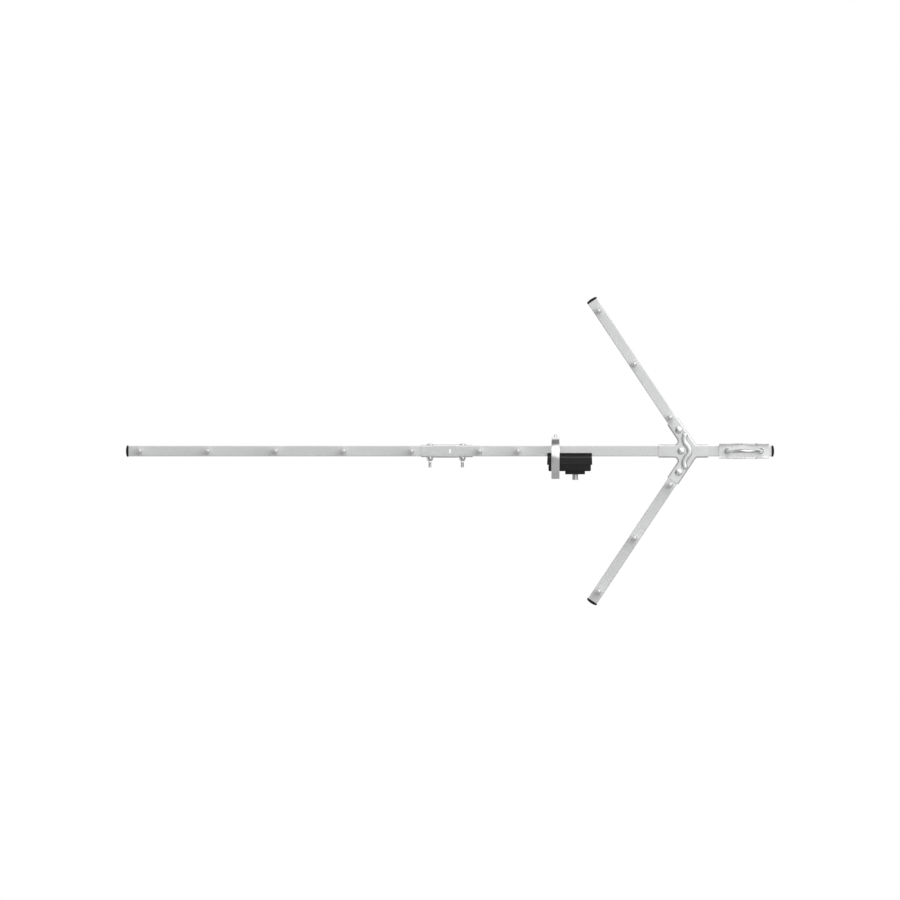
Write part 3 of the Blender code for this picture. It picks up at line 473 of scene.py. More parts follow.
def piece(node, mesh, place=None, finish=None, crease=SHARP):
    """A fine piece that stands for a node; its edges steeper than the crease shade sharp."""
    mesh.shade_smooth()
    mesh.set_sharp_from_angle(angle=crease)
    mesh = applied(mesh, "WEIGHTED_NORMAL", keep_sharp=True, weight=100)
    mesh.materials.clear()
    mesh.materials.append(finish or FINISHES[SLOTS[node]])
    made = added(f"{node}_fine", mesh)
    made.matrix_world = place or Matrix()
    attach(made, frame["nodes"][node]["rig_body"])
    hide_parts(node)


# ---- tubes, caps and rods

TUBE_WALL = 1 * MM
TUBE_CORNER, TUBE_INNER_CORNER = 0.9 * MM, 0.4 * MM
BURR = 0.15 * MM  # the broken edge of a sawn end
ROD_FIT = 0.12 * MM  # a hole round its rod
DOME_SHARE = 0.6  # height of a rod's domed end, as a share of its radius
GROOVE = (0.8 * MM, 0.2 * MM, 0.06 * MM)  # drawn ring by the dome: distance from it, half width, depth
CAP_STEM = 8 * MM  # length of a plug's stem in its tube
CAP_BITE = 0.05 * MM  # how far its head sits into the tube's end


def tube(length, across, upright=()):
    """A square tube along +X; its holes are (x, radius), across it in Y or upright in Z."""
    inner = square(HALF - TUBE_WALL, TUBE_INNER_CORNER)
    rings = [(0, -BURR), (BURR, 0), (length - BURR, 0), (length, -BURR)]
    skins = [[(x, u, v) for u, v in square(HALF + change, TUBE_CORNER)] for x, change in rings]
    skins += [[(x, u, v) for u, v in inner] for x in (length, 0)]
    mesh = loft(skins, loop=True)
    swing = Matrix.Rotation(QUARTER, 4, "X")
    tools = [moved(drill(r, HALF), at(x, 0, 0) @ swing) for x, r in across]
    tools += [moved(drill(r, HALF), at(x, 0, 0)) for x, r in upright]
    return carved(mesh, merged(*tools))


def boom():
    """The two lengths of the boom, each with the holes that fall on it."""
    rod_hole = extent("director_1").x / 2 + ROD_FIT
    leg_hole = extent("u_bolt").z / 2 + LOOSE_FIT
    across = [(f"director_{i}", rod_hole) for i in range(1, 8)]
    across += [("bracket_bolt_boom", M5 + LOOSE_FIT)]
    across += [(f"clamp_washer_{side}", leg_hole) for side in ("left", "right")]
    upright = [(node, M5 + CLOSE_FIT) for node in ("splice_bolt_1", "splice_bolt_2", "dipole_screw")]
    for node in ("boom_front", "boom_rear"):
        low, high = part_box(node)

        def here(holes):
            return [(centre(n).x - low.x, r) for n, r in holes if low.x < centre(n).x < high.x]

        mesh = tube(high.x - low.x, here(across), here(upright))
        piece(node, mesh, at(low.x, BOOM.y, BOOM.z))


def cap(thickness, half):
    """A plug's stem and head along +X; the head's dome turns from square to round towards its top."""
    rim = 0.32 * thickness
    stem = HALF - TUBE_WALL - 0.3 * MM
    # x, half width and corner radius: the stem, the rim, the dome and the moulding gate's small pit
    rings = [(-CAP_STEM, stem - 0.6 * MM, MM), (MM - CAP_STEM, stem, MM), (-CAP_BITE, stem, MM)]
    rings += [(-CAP_BITE, half - 0.3 * MM, 1.8 * MM), (0.25 * MM, half, 2 * MM), (rim, half, 2 * MM)]
    steps = 10
    for i in range(1, steps):
        turn = i / steps * math.pi / 2
        size = half * math.cos(turn) ** 0.9
        corner = size * (0.24 + 0.7 * math.sin(turn) ** 2)
        rings.append((rim + (thickness - rim) * math.sin(turn), size, corner))
    rings += [(thickness, 1.1 * MM, 1.05 * MM), (thickness - 0.35 * MM, 0.8 * MM, 0.78 * MM)]
    return loft([[(x, u, v) for u, v in square(size, corner, 8)] for x, size, corner in rings])


def caps():
    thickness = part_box("boom_cap_rear")[1].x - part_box("boom_rear")[1].x
    mesh = cap(thickness, extent("boom_cap_rear").z / 2)
    back = Matrix.Rotation(math.pi, 4, "Z")
    piece("boom_cap_front", mesh, at(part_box("boom_front")[0].x, BOOM.y, BOOM.z) @ back)
    piece("boom_cap_rear", mesh, at(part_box("boom_rear")[1].x, BOOM.y, BOOM.z))
    end = arm_reach("reflector_arm_upper", HALF)
    for side, sign in (("upper", 1), ("lower", -1)):
        piece(f"arm_cap_{side}", mesh, arm_frame(sign) @ at(end, 0, 0))


def rod(radius, length):
    """A round rod along Z with domed ends and a fine drawn ring where each dome starts."""
    half = length / 2
    dome = DOME_SHARE * radius
    rise = [QUARTER * i / 8 for i in range(7, -1, -1)]
    top = [(0, half)] + [(radius * math.cos(t), half - dome + dome * math.sin(t)) for t in rise]
    below, width, depth = GROOVE
    groove = half - dome - below
    top += [(radius, groove + width), (radius - depth, groove), (radius, groove - width)]
    top += [(radius, half / 2)]
    return turned(top + [(r, -z) for r, z in top[::-1]], 40)


def rods():
    for i in range(1, 8):
        node = f"director_{i}"
        size = extent(node)
        piece(node, rod(size.x / 2, size.y), facing(centre(node), Y))
    size = extent("reflector_rod_upper_1")
    mesh = rod(size.x / 2, size.y)
    for side in ("upper", "lower"):
        for i in (1, 2, 3):
            node = f"reflector_rod_{side}_{i}"
            piece(node, mesh, facing(centre(node), Y))


def arms():
    rod_hole = extent("reflector_rod_upper_1").x / 2 + ROD_FIT
    end = arm_reach("reflector_arm_upper", HALF)
    start = (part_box("reflector_arm_upper")[0].z + HALF * math.cos(ARM_ANGLE)) / math.sin(ARM_ANGLE)
    along = [(centre(f"reflector_rod_upper_{i}") - ARM_ROOT).length for i in (1, 2, 3)]
    holes = [(x - start, rod_hole) for x in along]
    away = centre("bracket_bolt_upper") - ARM_ROOT
    holes.append((math.hypot(away.x, away.z) - start, M5 + LOOSE_FIT))
    mesh = tube(end - start, holes)
    for side, sign in (("upper", 1), ("lower", -1)):
        piece(f"reflector_arm_{side}", mesh, arm_frame(sign) @ at(start, 0, 0))


# ---- fasteners


def thread(work, radius, start, end, pitch, place=Vector, steps=THREAD_SIDES):
    """Adds a thread down -Z, flat at its crests and roots; it fades in and ends in a chamfer."""
    total = start - end
    grid = []
    for i in range(math.ceil(total / pitch * THREAD_STEPS) + THREAD_STEPS + 1):
        # 0 at a crest and 1 at a root, cut off above and below to flats
        wave = min(1, max(0, 0.55 - 0.9 * math.cos(math.tau * i / THREAD_STEPS)))
        row = []
        for k in range(steps):
            drop = min(max((i / THREAD_STEPS - k / steps) * pitch, 0), total)
            fade = min(1, drop / pitch, (total - drop) / pitch + 0.35)
            chamfer = max(0, THREAD_CHAMFER * 2 * pitch - total + drop) * 0.5
            r = min(radius - THREAD_DEPTH * pitch * fade * wave, radius - chamfer)
            turn = math.tau * k / steps
            row.append(work.verts.new(place((r * math.cos(turn), r * math.sin(turn), start - drop))))
        grid.append(row)
    for i, (upper, lower) in enumerate(zip(grid, grid[1:])):
        # a row ends where the row one turn before it starts
        upper = upper + [grid[max(i - THREAD_STEPS, 0)][0]]
        lower = lower + [grid[max(i + 1 - THREAD_STEPS, 0)][0]]
        for k in range(steps):
            work.faces.new(list(dict.fromkeys([upper[k], upper[k + 1], lower[k + 1], lower[k]])))


def threaded(before, radius, start, end, pitch, after=(), steps=THREAD_SIDES):
    """A closed skin over rings and a thread down -Z, then a flat end or rings back to the first."""
    work = bmesh.new()
    thread(work, radius, start, end, pitch, steps=steps)
    heads = skinned(work, [*before, circle(radius, start, steps)])
    tails = skinned(work, [circle(radius - THREAD_CHAMFER * pitch, end, steps), *after])
    if after:
        skin(work, tails[-1], heads[0])
    else:
        work.faces.new(heads[0])
        work.faces.new(tails[0])
    bmesh.ops.remove_doubles(work, verts=work.verts, dist=WELD)
    return finished(work)


def bolt(head, height, radius, length, threads, pitch):
    """A round-head bolt: its seat on the origin, its dome towards +Z, its thread's end at -length."""
    rise = [QUARTER * i / 9 for i in range(8, -1, -1)]
    dome = [(head * math.cos(t) ** 0.75, 0.22 * height + 0.78 * height * math.sin(t)) for t in rise]
    seat = [(head, 0.12 * height), (head - 0.15 * MM, -SEAT), (radius, -SEAT)]
    rings = [circle(r, z, THREAD_SIDES) for r, z in [(0.05 * head, height), *dome, *seat]]
    return threaded(rings, radius, threads - length, -length, pitch)


def cup_bolt(node, direction):
    """A cup-head bolt in its node's place, its head towards the direction."""
    length = abs(extent(node).dot(direction))
    top = centre(node) + direction * length / 2
    mesh = bolt(CUP_RADIUS, CUP_HEIGHT, M5, length - CUP_HEIGHT, STUD_THREAD, M5_PITCH)
    piece(node, mesh, facing(top - direction * CUP_HEIGHT, direction))


def washer(node, direction, bore):
    size = extent(node)
    thick = abs(size.dot(direction))
    outer = max(size) / 2
    edge = 0.12 * MM
    low, high = -thick / 2 - SEAT, thick / 2
    ring = [(outer - edge, high), (outer, high - edge), (outer, low + edge), (outer - edge, low)]
    ring += [(bore + edge, low), (bore, low + edge), (bore, high - edge), (bore + edge, high), ring[0]]
    piece(node, turned(ring), facing(centre(node), direction))


def wing_nut(span, rise, bore, hub, height):
    """A cast wing nut on the origin: its hub up +Z, its wings along X to this half span and rise."""
    foot = 0.9 * MM
    wing = [(hub * 0.55, foot), (hub * 0.95, foot), (span - 1.7 * EAR, rise - 2.05 * EAR)]
    wing += arc((span - EAR, rise - EAR), EAR, -50, 170, 12)
    wing += [(hub * 0.92, height + 0.2 * MM), (hub * 0.55, height - 0.3 * MM)]
    upper = [(0, height), (hub * 0.76, height), (hub * 0.82, height - 0.25 * MM), (hub * 0.93, foot)]
    lower = [(hub, 0.7 * MM), (hub, -SEAT + 0.1 * MM), (hub - 0.1 * MM, -SEAT), (0, -SEAT)]
    nut = turned(upper + lower, 40)
    for sign in (1, -1):
        faces = [[(sign * x, y, z) for x, z in wing] for y in (-WING / 2, WING / 2)]
        nut = carved(nut, eased(loft(faces), 0.34 * WING, 4, 50), "UNION")
    mouth = height - 0.4 * MM
    flare = [(0, 2 * rise), (bore + 2 * rise - height + 0.4 * MM, 2 * rise), (bore, mouth)]
    return carved(nut, turned(flare + [(bore, -height), (0, -height)], 40))


def fasteners():
    size = extent("splice_wing_nut_1")
    m5 = wing_nut(max(size) / 2, size.z, M5 + NUT_FIT, *M5_HUB)
    size = extent("clamp_wing_nut_left")
    m6 = wing_nut(max(size) / 2, size.y, M6 + NUT_FIT, *M6_HUB)
    for i in (1, 2):
        cup_bolt(f"splice_bolt_{i}", Z)
        washer(f"splice_washer_{i}", -Z, M5 + LOOSE_FIT)
        node = f"splice_wing_nut_{i}"
        piece(node, m5, facing((centre(node).x, BOOM.y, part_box(node)[1].z), -Z, QUARTER))
    turns = {"boom": 0, "upper": ARM_ANGLE - math.pi, "lower": math.pi - ARM_ANGLE}
    for side, turn in turns.items():
        cup_bolt(f"bracket_bolt_{side}", -Y)
        washer(f"bracket_washer_{side}", Y, M5 + LOOSE_FIT)
        node = f"bracket_wing_nut_{side}"
        middle = centre(f"bracket_bolt_{side}")
        piece(node, m5, facing((middle.x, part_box(node)[0].y, middle.z), Y, turn))
    for side in ("left", "right"):
        washer(f"clamp_washer_{side}", Y, M6 + THICK_WASHER_FIT)
        node = f"clamp_wing_nut_{side}"
        piece(node, m6, facing((centre(node).x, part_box(node)[0].y, BOOM.z), Y))


# ---- corner bracket

SHEET = 1.6 * MM
BRACKET_HALF = 10.1 * MM  # half width of each strip
BEND = 2.6 * MM  # outer radius where a strip's edges turn back
FILLET = 5 * MM
BEAD_WIDTH, BEAD_HEIGHT = 9 * MM, 2.2 * MM
# the bead's upper half as x and z in millimetres, from the boom's middle into the upper arm's strip
BEAD_PATH = (
    (-84, 0), (-84.2, 3), (-86, 6.5), (-88.8, 10),
    (-91, 13.5), (-92, 17), (-91.8, 20.5), (-91, 24),
)


def bracket_outline(half, front, rear, end):
    """The bracket's Y in X and Z: a strip of this half width along the boom and both arms."""
    along = Vector((ARM_ALONG.x, ARM_ALONG.z))
    outward = Vector((along.y, -along.x))
    root = Vector((ARM_ROOT.x, 0))
    rear_side, front_side = root + outward * half, root - outward * half
    tip = root + along * end
    upper = [(rear, half), tuple(rear_side + along * (half - rear_side.y) / along.y)]
    upper += [tuple(tip + outward * half), tuple(tip - outward * half)]
    upper += [tuple(front_side + along * (half - front_side.y) / along.y), (front, half)]
    return upper + [(x, -z) for x, z in upper[::-1]]


def bracket_ring(half, widest, y, reach, ends):
    """The outline at one Y, filleted between its strips; reach lengthens the strips."""
    front, rear, end = ends
    inset = FILLET + widest - half
    radii = [0, inset, 0, 0, inset, 0]
    corners = bracket_outline(half, front - reach, rear + reach, end + reach)
    return [(x, y, z) for x, z in filleted(corners, radii + radii[::-1], 8)]


def bracket_solid(half, near, far, bend, ends, reach=0.0):
    """A slab of the bracket's shape whose near edges are rounded along the bends."""
    rings = []
    for i in range(6):
        turn = QUARTER * i / 5
        inset = bend * (1 - math.sin(turn))
        rings.append(bracket_ring(half - inset, half, near + bend * (1 - math.cos(turn)), reach, ends))
    return loft(rings + [bracket_ring(half, half, far, reach, ends)])


def bead(near):
    """The stiffening bead: a rounded ridge bowed rearward round the boom bolt."""
    upper = [(x * MM, z * MM) for x, z in BEAD_PATH]
    path = smooth_path([(x, -z) for x, z in upper[:0:-1]] + upper, 3)
    rings = [[(x, near + SHEET / 2, z) for x, z in ribbon(path, BEAD_WIDTH)]]
    # the share of its width and the height of each level: a small foot, a round side and a narrow top
    levels = [(1.06, 0), (1.03, math.sin(math.pi / 22) ** 1.3)]
    turns = [math.pi * i / 22 for i in range(2, 10)]
    levels += [(math.cos(turn) ** 0.8, math.sin(turn) ** 1.3) for turn in turns] + [(0.12, 1)]
    for share, lift in levels:
        outline = ribbon(path, BEAD_WIDTH * share)
        rings.append([(x, near - BEAD_HEIGHT * lift, z) for x, z in outline])
    return loft(rings)


def corner_bracket():
    """The stamped sheet: a Y of three strips with edges bent back, bolt holes and its bead."""
    low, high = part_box("corner_bracket")
    near = low.y + BEAD_HEIGHT
    half = BRACKET_HALF
    ends = (low.x, high.x, arm_reach("corner_bracket", half))
    shell = bracket_solid(half, near, high.y, BEND, ends)
    room = bracket_solid(half - SHEET, near + SHEET, 2 * high.y, BEND - SHEET, ends, 5 * MM)
    mesh = eased(carved(shell, room), 0.12 * MM, 2, 60)
    tools = []
    for side in ("boom", "upper", "lower"):
        middle = centre(f"bracket_bolt_{side}")
        tools.append(moved(drill(M5 + CLOSE_FIT, TUBE), facing((middle.x, near, middle.z), Y)))
    piece("corner_bracket", carved(carved(mesh, merged(*tools)), bead(near), "UNION"))


# ---- splice

SLEEVE_RISE = 0.8 * MM  # how far its flanges bulge between the bolts
SLEEVE_STEP = 3.5 * MM  # length of each slope up to the bulge
SLEEVE_FLAT = 8 * MM  # from a bolt to the end of the slope
SLEEVE_EASE, SLEEVE_DROP = 5 * MM, 0.25 * MM  # how its ends ease inward
SLEEVE_WALL = 1 * MM
SLEEVE_BEND, SLEEVE_INNER_BEND = 2.2 * MM, 1.2 * MM
SLOT_HALF_WIDTH, SLOT_HALF_HEIGHT = 1.2 * MM, 3.3 * MM


def ramp(value):
    """A smooth step from 0 to 1."""
    value = min(max(value, 0), 1)
    return value * value * (3 - 2 * value)


def splice_sleeve():
    """The folded channel round the joint, its flanges bulged between the bolts."""
    low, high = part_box("splice_sleeve")
    outer = high.z - SLEEVE_RISE
    inner = outer - SLEEVE_WALL
    near, far = low.y - BOOM.y, high.y - BOOM.y
    edge = 0.2 * MM
    bend, inside = SLEEVE_BEND, SLEEVE_INNER_BEND
    corners = [(near, -outer), (far, -outer), (far, -inner), (near + SLEEVE_WALL, -inner)]
    corners += [(near + SLEEVE_WALL, inner), (far, inner), (far, outer), (near, outer)]
    outline = filleted(corners, [bend, edge, edge, inside, inside, edge, edge, bend], 6)
    bolts = [centre(f"splice_bolt_{i}").x for i in (1, 2)]
    start, end = bolts[0] + SLEEVE_FLAT, bolts[1] - SLEEVE_FLAT
    rings = []
    steps = [low.x, low.x + edge, low.x + SLEEVE_EASE]
    steps += [start - SLEEVE_STEP * (1 - i / 6) for i in range(7)]
    steps += [end + SLEEVE_STEP * i / 6 for i in range(7)]
    steps += [high.x - SLEEVE_EASE, high.x - edge, high.x]
    for x in steps:
        lift = SLEEVE_RISE * ramp(1 - max(start - x, x - end) / SLEEVE_STEP)
        lift -= SLEEVE_DROP * ramp(1 - min(x - low.x, high.x - x) / SLEEVE_EASE)
        trim = edge * 0.6 if x in (low.x, high.x) else 0
        ring = []
        for y, z in outline:
            flange = abs(z) > HALF - 0.4 * MM
            z += math.copysign(lift if flange else 0, z)
            if trim and flange and abs(z) > (inner + outer) / 2:
                z -= math.copysign(trim, z)
            ring.append((x, y + (trim if y < near + SLEEVE_WALL / 2 else 0), z))
        rings.append(ring)
    mesh = loft(rings)
    tools = [moved(drill(M5 + CLOSE_FIT, 2 * TUBE), at(x, 0, 0)) for x in bolts]
    stretch = SLOT_HALF_HEIGHT - SLOT_HALF_WIDTH
    slot = square(SLOT_HALF_WIDTH, SLOT_HALF_WIDTH * 0.98)
    shape = [(u, v + math.copysign(stretch, v)) for u, v in slot]
    middle = (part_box("boom_front")[1].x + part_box("boom_rear")[0].x) / 2
    depths = (-TUBE, near + 2 * SLEEVE_WALL)
    tools.append(loft([[(middle + u, y, v) for u, v in shape] for y in depths]))
    piece("splice_sleeve", carved(mesh, merged(*tools)), at(0, BOOM.y, BOOM.z))


# ---- mast clamp

MAST_RADIUS = 18.25 * MM
V_HALF_ANGLE = math.radians(60)
V_FLAT = 1.2 * MM  # half width of the flat at its root
CLAMP_WALL = 2 * MM
CLAMP_LIP = 1.6 * MM
CLAMP_BEND, CLAMP_INNER_BEND = 2.8 * MM, 1 * MM
CLAMP_HOLE = 4 * MM
CLAMP_CREASE = math.radians(25)
TOOTH_START = 3 * MM
TOOTH_PITCH = 2.6 * MM
TOOTH_DEPTH = 1.3 * MM
TOOTH_COUNT = 6
U_THREAD = 26 * MM  # length of thread on each leg


def notch(mouth_y):
    """The toothed V that bites the mast, as points in X and Y."""
    apex = MAST_RADIUS / math.sin(V_HALF_ANGLE)
    away = Vector((math.sin(V_HALF_ANGLE), -math.cos(V_HALF_ANGLE)))
    inward = Vector((math.cos(V_HALF_ANGLE), math.sin(V_HALF_ANGLE)))
    side = []
    for i in range(TOOTH_COUNT):
        peak = Vector((0, apex)) + away * (TOOTH_START + (i + 0.5) * TOOTH_PITCH)
        root = peak + away * TOOTH_PITCH / 2 + inward * TOOTH_DEPTH
        side += [tuple(peak), tuple(root)]
    out = Vector((0, apex)) + away * (TOOTH_START + (TOOTH_COUNT + 0.5) * TOOTH_PITCH)
    mouth = out + away * (out.y - mouth_y) / -away.y
    right = [(V_FLAT, apex)] + side + [tuple(out), (mouth.x, mouth_y)]
    return right + [(-x, y) for x, y in right[::-1]]


def clamp_bracket():
    """The channel between mast and boom: a toothed notch in each lip and holes for the U-bolt."""
    low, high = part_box("clamp_bracket")
    outer = high.z
    inner = outer - CLAMP_LIP
    web = high.y - CLAMP_WALL
    edge = 0.25 * MM
    corners = [(low.y, -outer), (high.y, -outer), (high.y, outer), (low.y, outer)]
    corners += [(low.y, inner), (web, inner), (web, -inner), (low.y, -inner)]
    bend, inside = CLAMP_BEND, CLAMP_INNER_BEND
    outline = filleted(corners, [edge, bend, bend, edge, edge, inside, inside, edge], 7)
    channel = loft([[(x, y, z) for y, z in outline] for x in (low.x, high.x)])
    teeth = loft([[(x, y, z) for x, y in notch(low.y - TUBE)] for z in (-TUBE, TUBE)])
    mesh = eased(carved(channel, teeth), 0.22 * MM, 2, 55)
    legs = [centre(f"clamp_washer_{side}").x for side in ("left", "right")]
    half = CLAMP_WALL / 2
    tools = [moved(drill(CLAMP_HOLE, half), facing((x, web + half, BOOM.z), Y)) for x in legs]
    # the clamp's finish carries painted light: a brighter base colour that lifts the shade in its
    # recessed web
    piece("clamp_bracket", carved(mesh, merged(*tools)), finish=SHEET_WITH_PAINTED_LIGHT, crease=CLAMP_CREASE)


def u_bolt():
    """The bent rod, its bend in front of the mast and a rolled thread on each leg."""
    low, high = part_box("u_bolt")
    radius = (high.z - low.z) / 2
    leg_x = high.x - radius
    bend_y = low.y + high.x  # the bend is a half circle, as wide as the U-bolt
    work = bmesh.new()

    def leg(side):
        """Takes a point of a leg that stands on its threaded end to its place."""
        return lambda point: (side * (leg_x + point[0]), high.y - point[2], side * point[1])

    rings = [[leg(1)(point) for point in circle(radius, U_THREAD, THREAD_SIDES)]]
    steps = 40
    for i in range(steps + 1):
        turn = math.pi * i / steps
        ring = []
        for x, z, _ in circle(radius, 0, THREAD_SIDES):
            reach = leg_x + x
            ring.append((reach * math.cos(turn), bend_y - reach * math.sin(turn), z))
        rings.append(ring)
    rings.append([(-x, y, z) for x, y, z in rings[0]])
    skinned(work, rings)
    for side in (1, -1):
        thread(work, radius, U_THREAD, 0, M6_PITCH, leg(side))
        end = circle(radius - THREAD_CHAMFER * M6_PITCH, 0, THREAD_SIDES)
        work.faces.new([work.verts.new(leg(side)(point)) for point in end])
    bmesh.ops.remove_doubles(work, verts=work.verts, dist=WELD)
    # the U-bolt's finish carries painted light: a brighter base colour than the other plated steel
    piece("u_bolt", finished(work), finish=ROD_WITH_PAINTED_LIGHT)


# ---- folded dipole

STRIP = 2 * MM
STRIP_EDGE = 0.45 * MM
STRIP_BEND = 2 * MM  # along its middle
CROWN = 0.2  # share of its thickness that the strip loses towards its edges
TAB_Y = 12 * MM  # where each end turns up into the feed box
TAB_REACH = 8 * MM  # how far it then turns in
TAB_TOP = -22.9 * MM
SCREW_HEAD, SCREW_HEAD_HEIGHT, SCREW_THREAD = 2.6 * MM, 3.4 * MM, 14 * MM
CROSS = (0.4 * MM, 1.5 * MM, 1.6 * MM)  # its recess: half width, half length and bottom


def strip_section(width):
    """The strip's section as (across, outward) points: round edges and a slightly crowned face."""
    half = width / 2
    corners = [(half, -STRIP / 2), (half, STRIP / 2), (-half, STRIP / 2), (-half, -STRIP / 2)]
    outline = filleted(corners, [STRIP_EDGE] * 4)
    points = []
    for i, (u, v) in enumerate(outline):
        across = outline[(i + 1) % len(outline)][0] - u
        steps = 8 if abs(across) > half else 1
        points += [(u + across * k / steps, v) for k in range(steps)]
    return [(u, v * (1 - CROWN * (u / half) ** 2)) for u, v in points]


def folded_dipole():
    """The loop of flat strip, from one feed tab in the box round both ends to the other tab."""
    low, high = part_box("folded_dipole")
    middle = (low + high) / 2
    radius = (high.z - low.z - STRIP) / 2
    end_y = (high.y - low.y) / 2 - STRIP / 2 - radius
    tab_z = TAB_TOP - STRIP / 2
    low_z = low.z + STRIP / 2
    bend = STRIP_BEND
    half = [(TAB_Y - TAB_REACH, tab_z)]
    half += arc((TAB_Y - bend, tab_z - bend), bend, 90, 0, 6)
    half += arc((TAB_Y + bend, low_z + bend), bend, 180, 270, 6)
    half += arc((end_y, middle.z), radius, -90, 90, 36)
    path = [Vector(p) for p in half + [(-y, z) for y, z in half[::-1]]]
    section = strip_section(high.x - low.x)
    rings = []
    for i, point in enumerate(path):
        ahead = (path[min(i + 1, len(path) - 1)] - path[max(i - 1, 0)]).normalized()
        outward = Vector((ahead.y, -ahead.x))
        rings.append([(u, *(point + outward * v)) for u, v in section])
    mesh = loft(rings)
    hole = drill(M4 + CLOSE_FIT, TUBE)
    mesh = carved(mesh, moved(hole, at(0, 0, high.z)))
    piece("folded_dipole", mesh, at(middle.x, BOOM.y, 0))


def dipole_fixing():
    """The long cross-head screw through the dipole, and the spacer tube that it clamps."""
    low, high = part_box("dipole_screw")
    height = SCREW_HEAD_HEIGHT
    mesh = bolt(SCREW_HEAD, height, M4, high.z - low.z - height, SCREW_THREAD, M4_PITCH)
    width, length, bottom = CROSS
    for turn in (0, QUARTER):
        slot = block((-width, -length, bottom), (width, length, 2 * height))
        mesh = carved(mesh, moved(slot, Matrix.Rotation(turn, 4, "Z")))
    piece("dipole_screw", mesh, facing((centre("dipole_screw").x, BOOM.y, high.z - height), Z))
    low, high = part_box("dipole_spacer")
    outer, bore, edge = extent("dipole_spacer").x / 2, M4 + CLOSE_FIT, 0.3 * MM
    half = (high.z - low.z) / 2 + SEAT
    ring = [(outer - edge, half), (outer, half - edge), (outer, edge - half), (outer - edge, -half)]
    ring += [(bore, -half), (bore, half), ring[0]]
    piece("dipole_spacer", turned(ring), facing(centre("dipole_spacer"), Z))


# ---- feed box

COVER_EDGE = 0.9 * MM * 0.6
SADDLE_WALL = 3.2 * MM  # of each rail
COVER_TOP, COVER_TOP_WALL = -HALF - 0.3 * MM, 2.2 * MM
SHOULDER_TOP = -7.4 * MM  # by the rail
SHOULDER = -7.9 * MM  # by the side
SHOULDER_IN, SHOULDER_DROP = 1.1 * MM, 2.6 * MM  # the slope from there to the side
FLARE = 0.6 * MM
BOX_WALL = 1.2 * MM
COVER_CREASE = math.radians(21)
SKIRT_TOP = -15.6 * MM  # of the cover's wide lower room
ROOM_BOTTOM = -17 * MM  # and of the narrow one above it
BASE_WALL = 2 * MM
BASE_EDGE, PAD_EDGE = 1.9 * MM, 0.8 * MM
FLOOR_BOTTOM = -30.8 * MM
PAD_FRONT, PAD_REAR, PAD_HALF = -273.9 * MM, -243.5 * MM, 12 * MM
NECK_HOLE = 4.95 * MM  # radius of the socket's hole
WEEP_HOLE, WEEP_Y = 0.9 * MM, 15.2 * MM  # two drain holes beside the board's posts,
WEEP_FRONT, WEEP_REAR = 11.5 * MM, 7 * MM  # this far behind the dipole and ahead of the rear wall
TAB_CLEAR = 0.5 * MM
SOCKET_RADIUS, SOCKET_BORE = 4.75 * MM, 3.3 * MM
SOCKET_FLANGE = 2 * MM  # its thickness
SOCKET_NECK = 2.4 * MM  # plain length above the thread


def drafted(mesh, bottom):
    """The cover's outside pushed outward towards its lower end, as a moulding's draft does."""
    xs = [v.co.x for v in mesh.vertices]
    middle = (min(xs) + max(xs)) / 2
    for vertex in mesh.vertices:
        share = min(max((COVER_TOP - vertex.co.z) / (COVER_TOP - bottom), 0), 1)
        vertex.co.x += math.copysign(FLARE * share, vertex.co.x - middle)
        if vertex.co.z < SHOULDER:
            vertex.co.y += math.copysign(FLARE * share, vertex.co.y)
    return mesh


def box_cover():
    """The upper shell: two rails that cradle the boom, sloping shoulders and a flared skirt."""
    low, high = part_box("box_cover")
    front, rear, bottom = low.x + FLARE, high.x - FLARE, low.z
    side = (high.y - low.y) / 2 - FLARE
    rail_in = HALF + 0.3 * MM
    rail_out = rail_in + SADDLE_WALL
    half = [(rail_in, COVER_TOP), (rail_in, high.z), (rail_out, high.z), (rail_out, SHOULDER_TOP)]
    half += [(side - SHOULDER_IN, SHOULDER), (side, SHOULDER - SHOULDER_DROP), (side, bottom)]
    section = half + [(-y, z) for y, z in half[::-1]]
    shell = loft([[(x, y, z) for y, z in section] for x in (front, rear)])
    shell = eased(drafted(shell, bottom), COVER_EDGE, 6, 25)

    def hollow(inset, low_z, high_z):
        return block((front + inset, inset - side, low_z), (rear - inset, side - inset, high_z))

    skirt = hollow(BOX_WALL, bottom - MM, SKIRT_TOP)
    room = hollow(2.4 * BOX_WALL, ROOM_BOTTOM, COVER_TOP - COVER_TOP_WALL)
    hole = drill(M4 + LOOSE_FIT, 8 * MM)
    moved(hole, at(centre("dipole_screw").x, 0, COVER_TOP))
    for tool in (skirt, room, hole):
        shell = carved(shell, tool)
    piece("box_cover", shell, at(0, BOOM.y, 0), crease=COVER_CREASE)


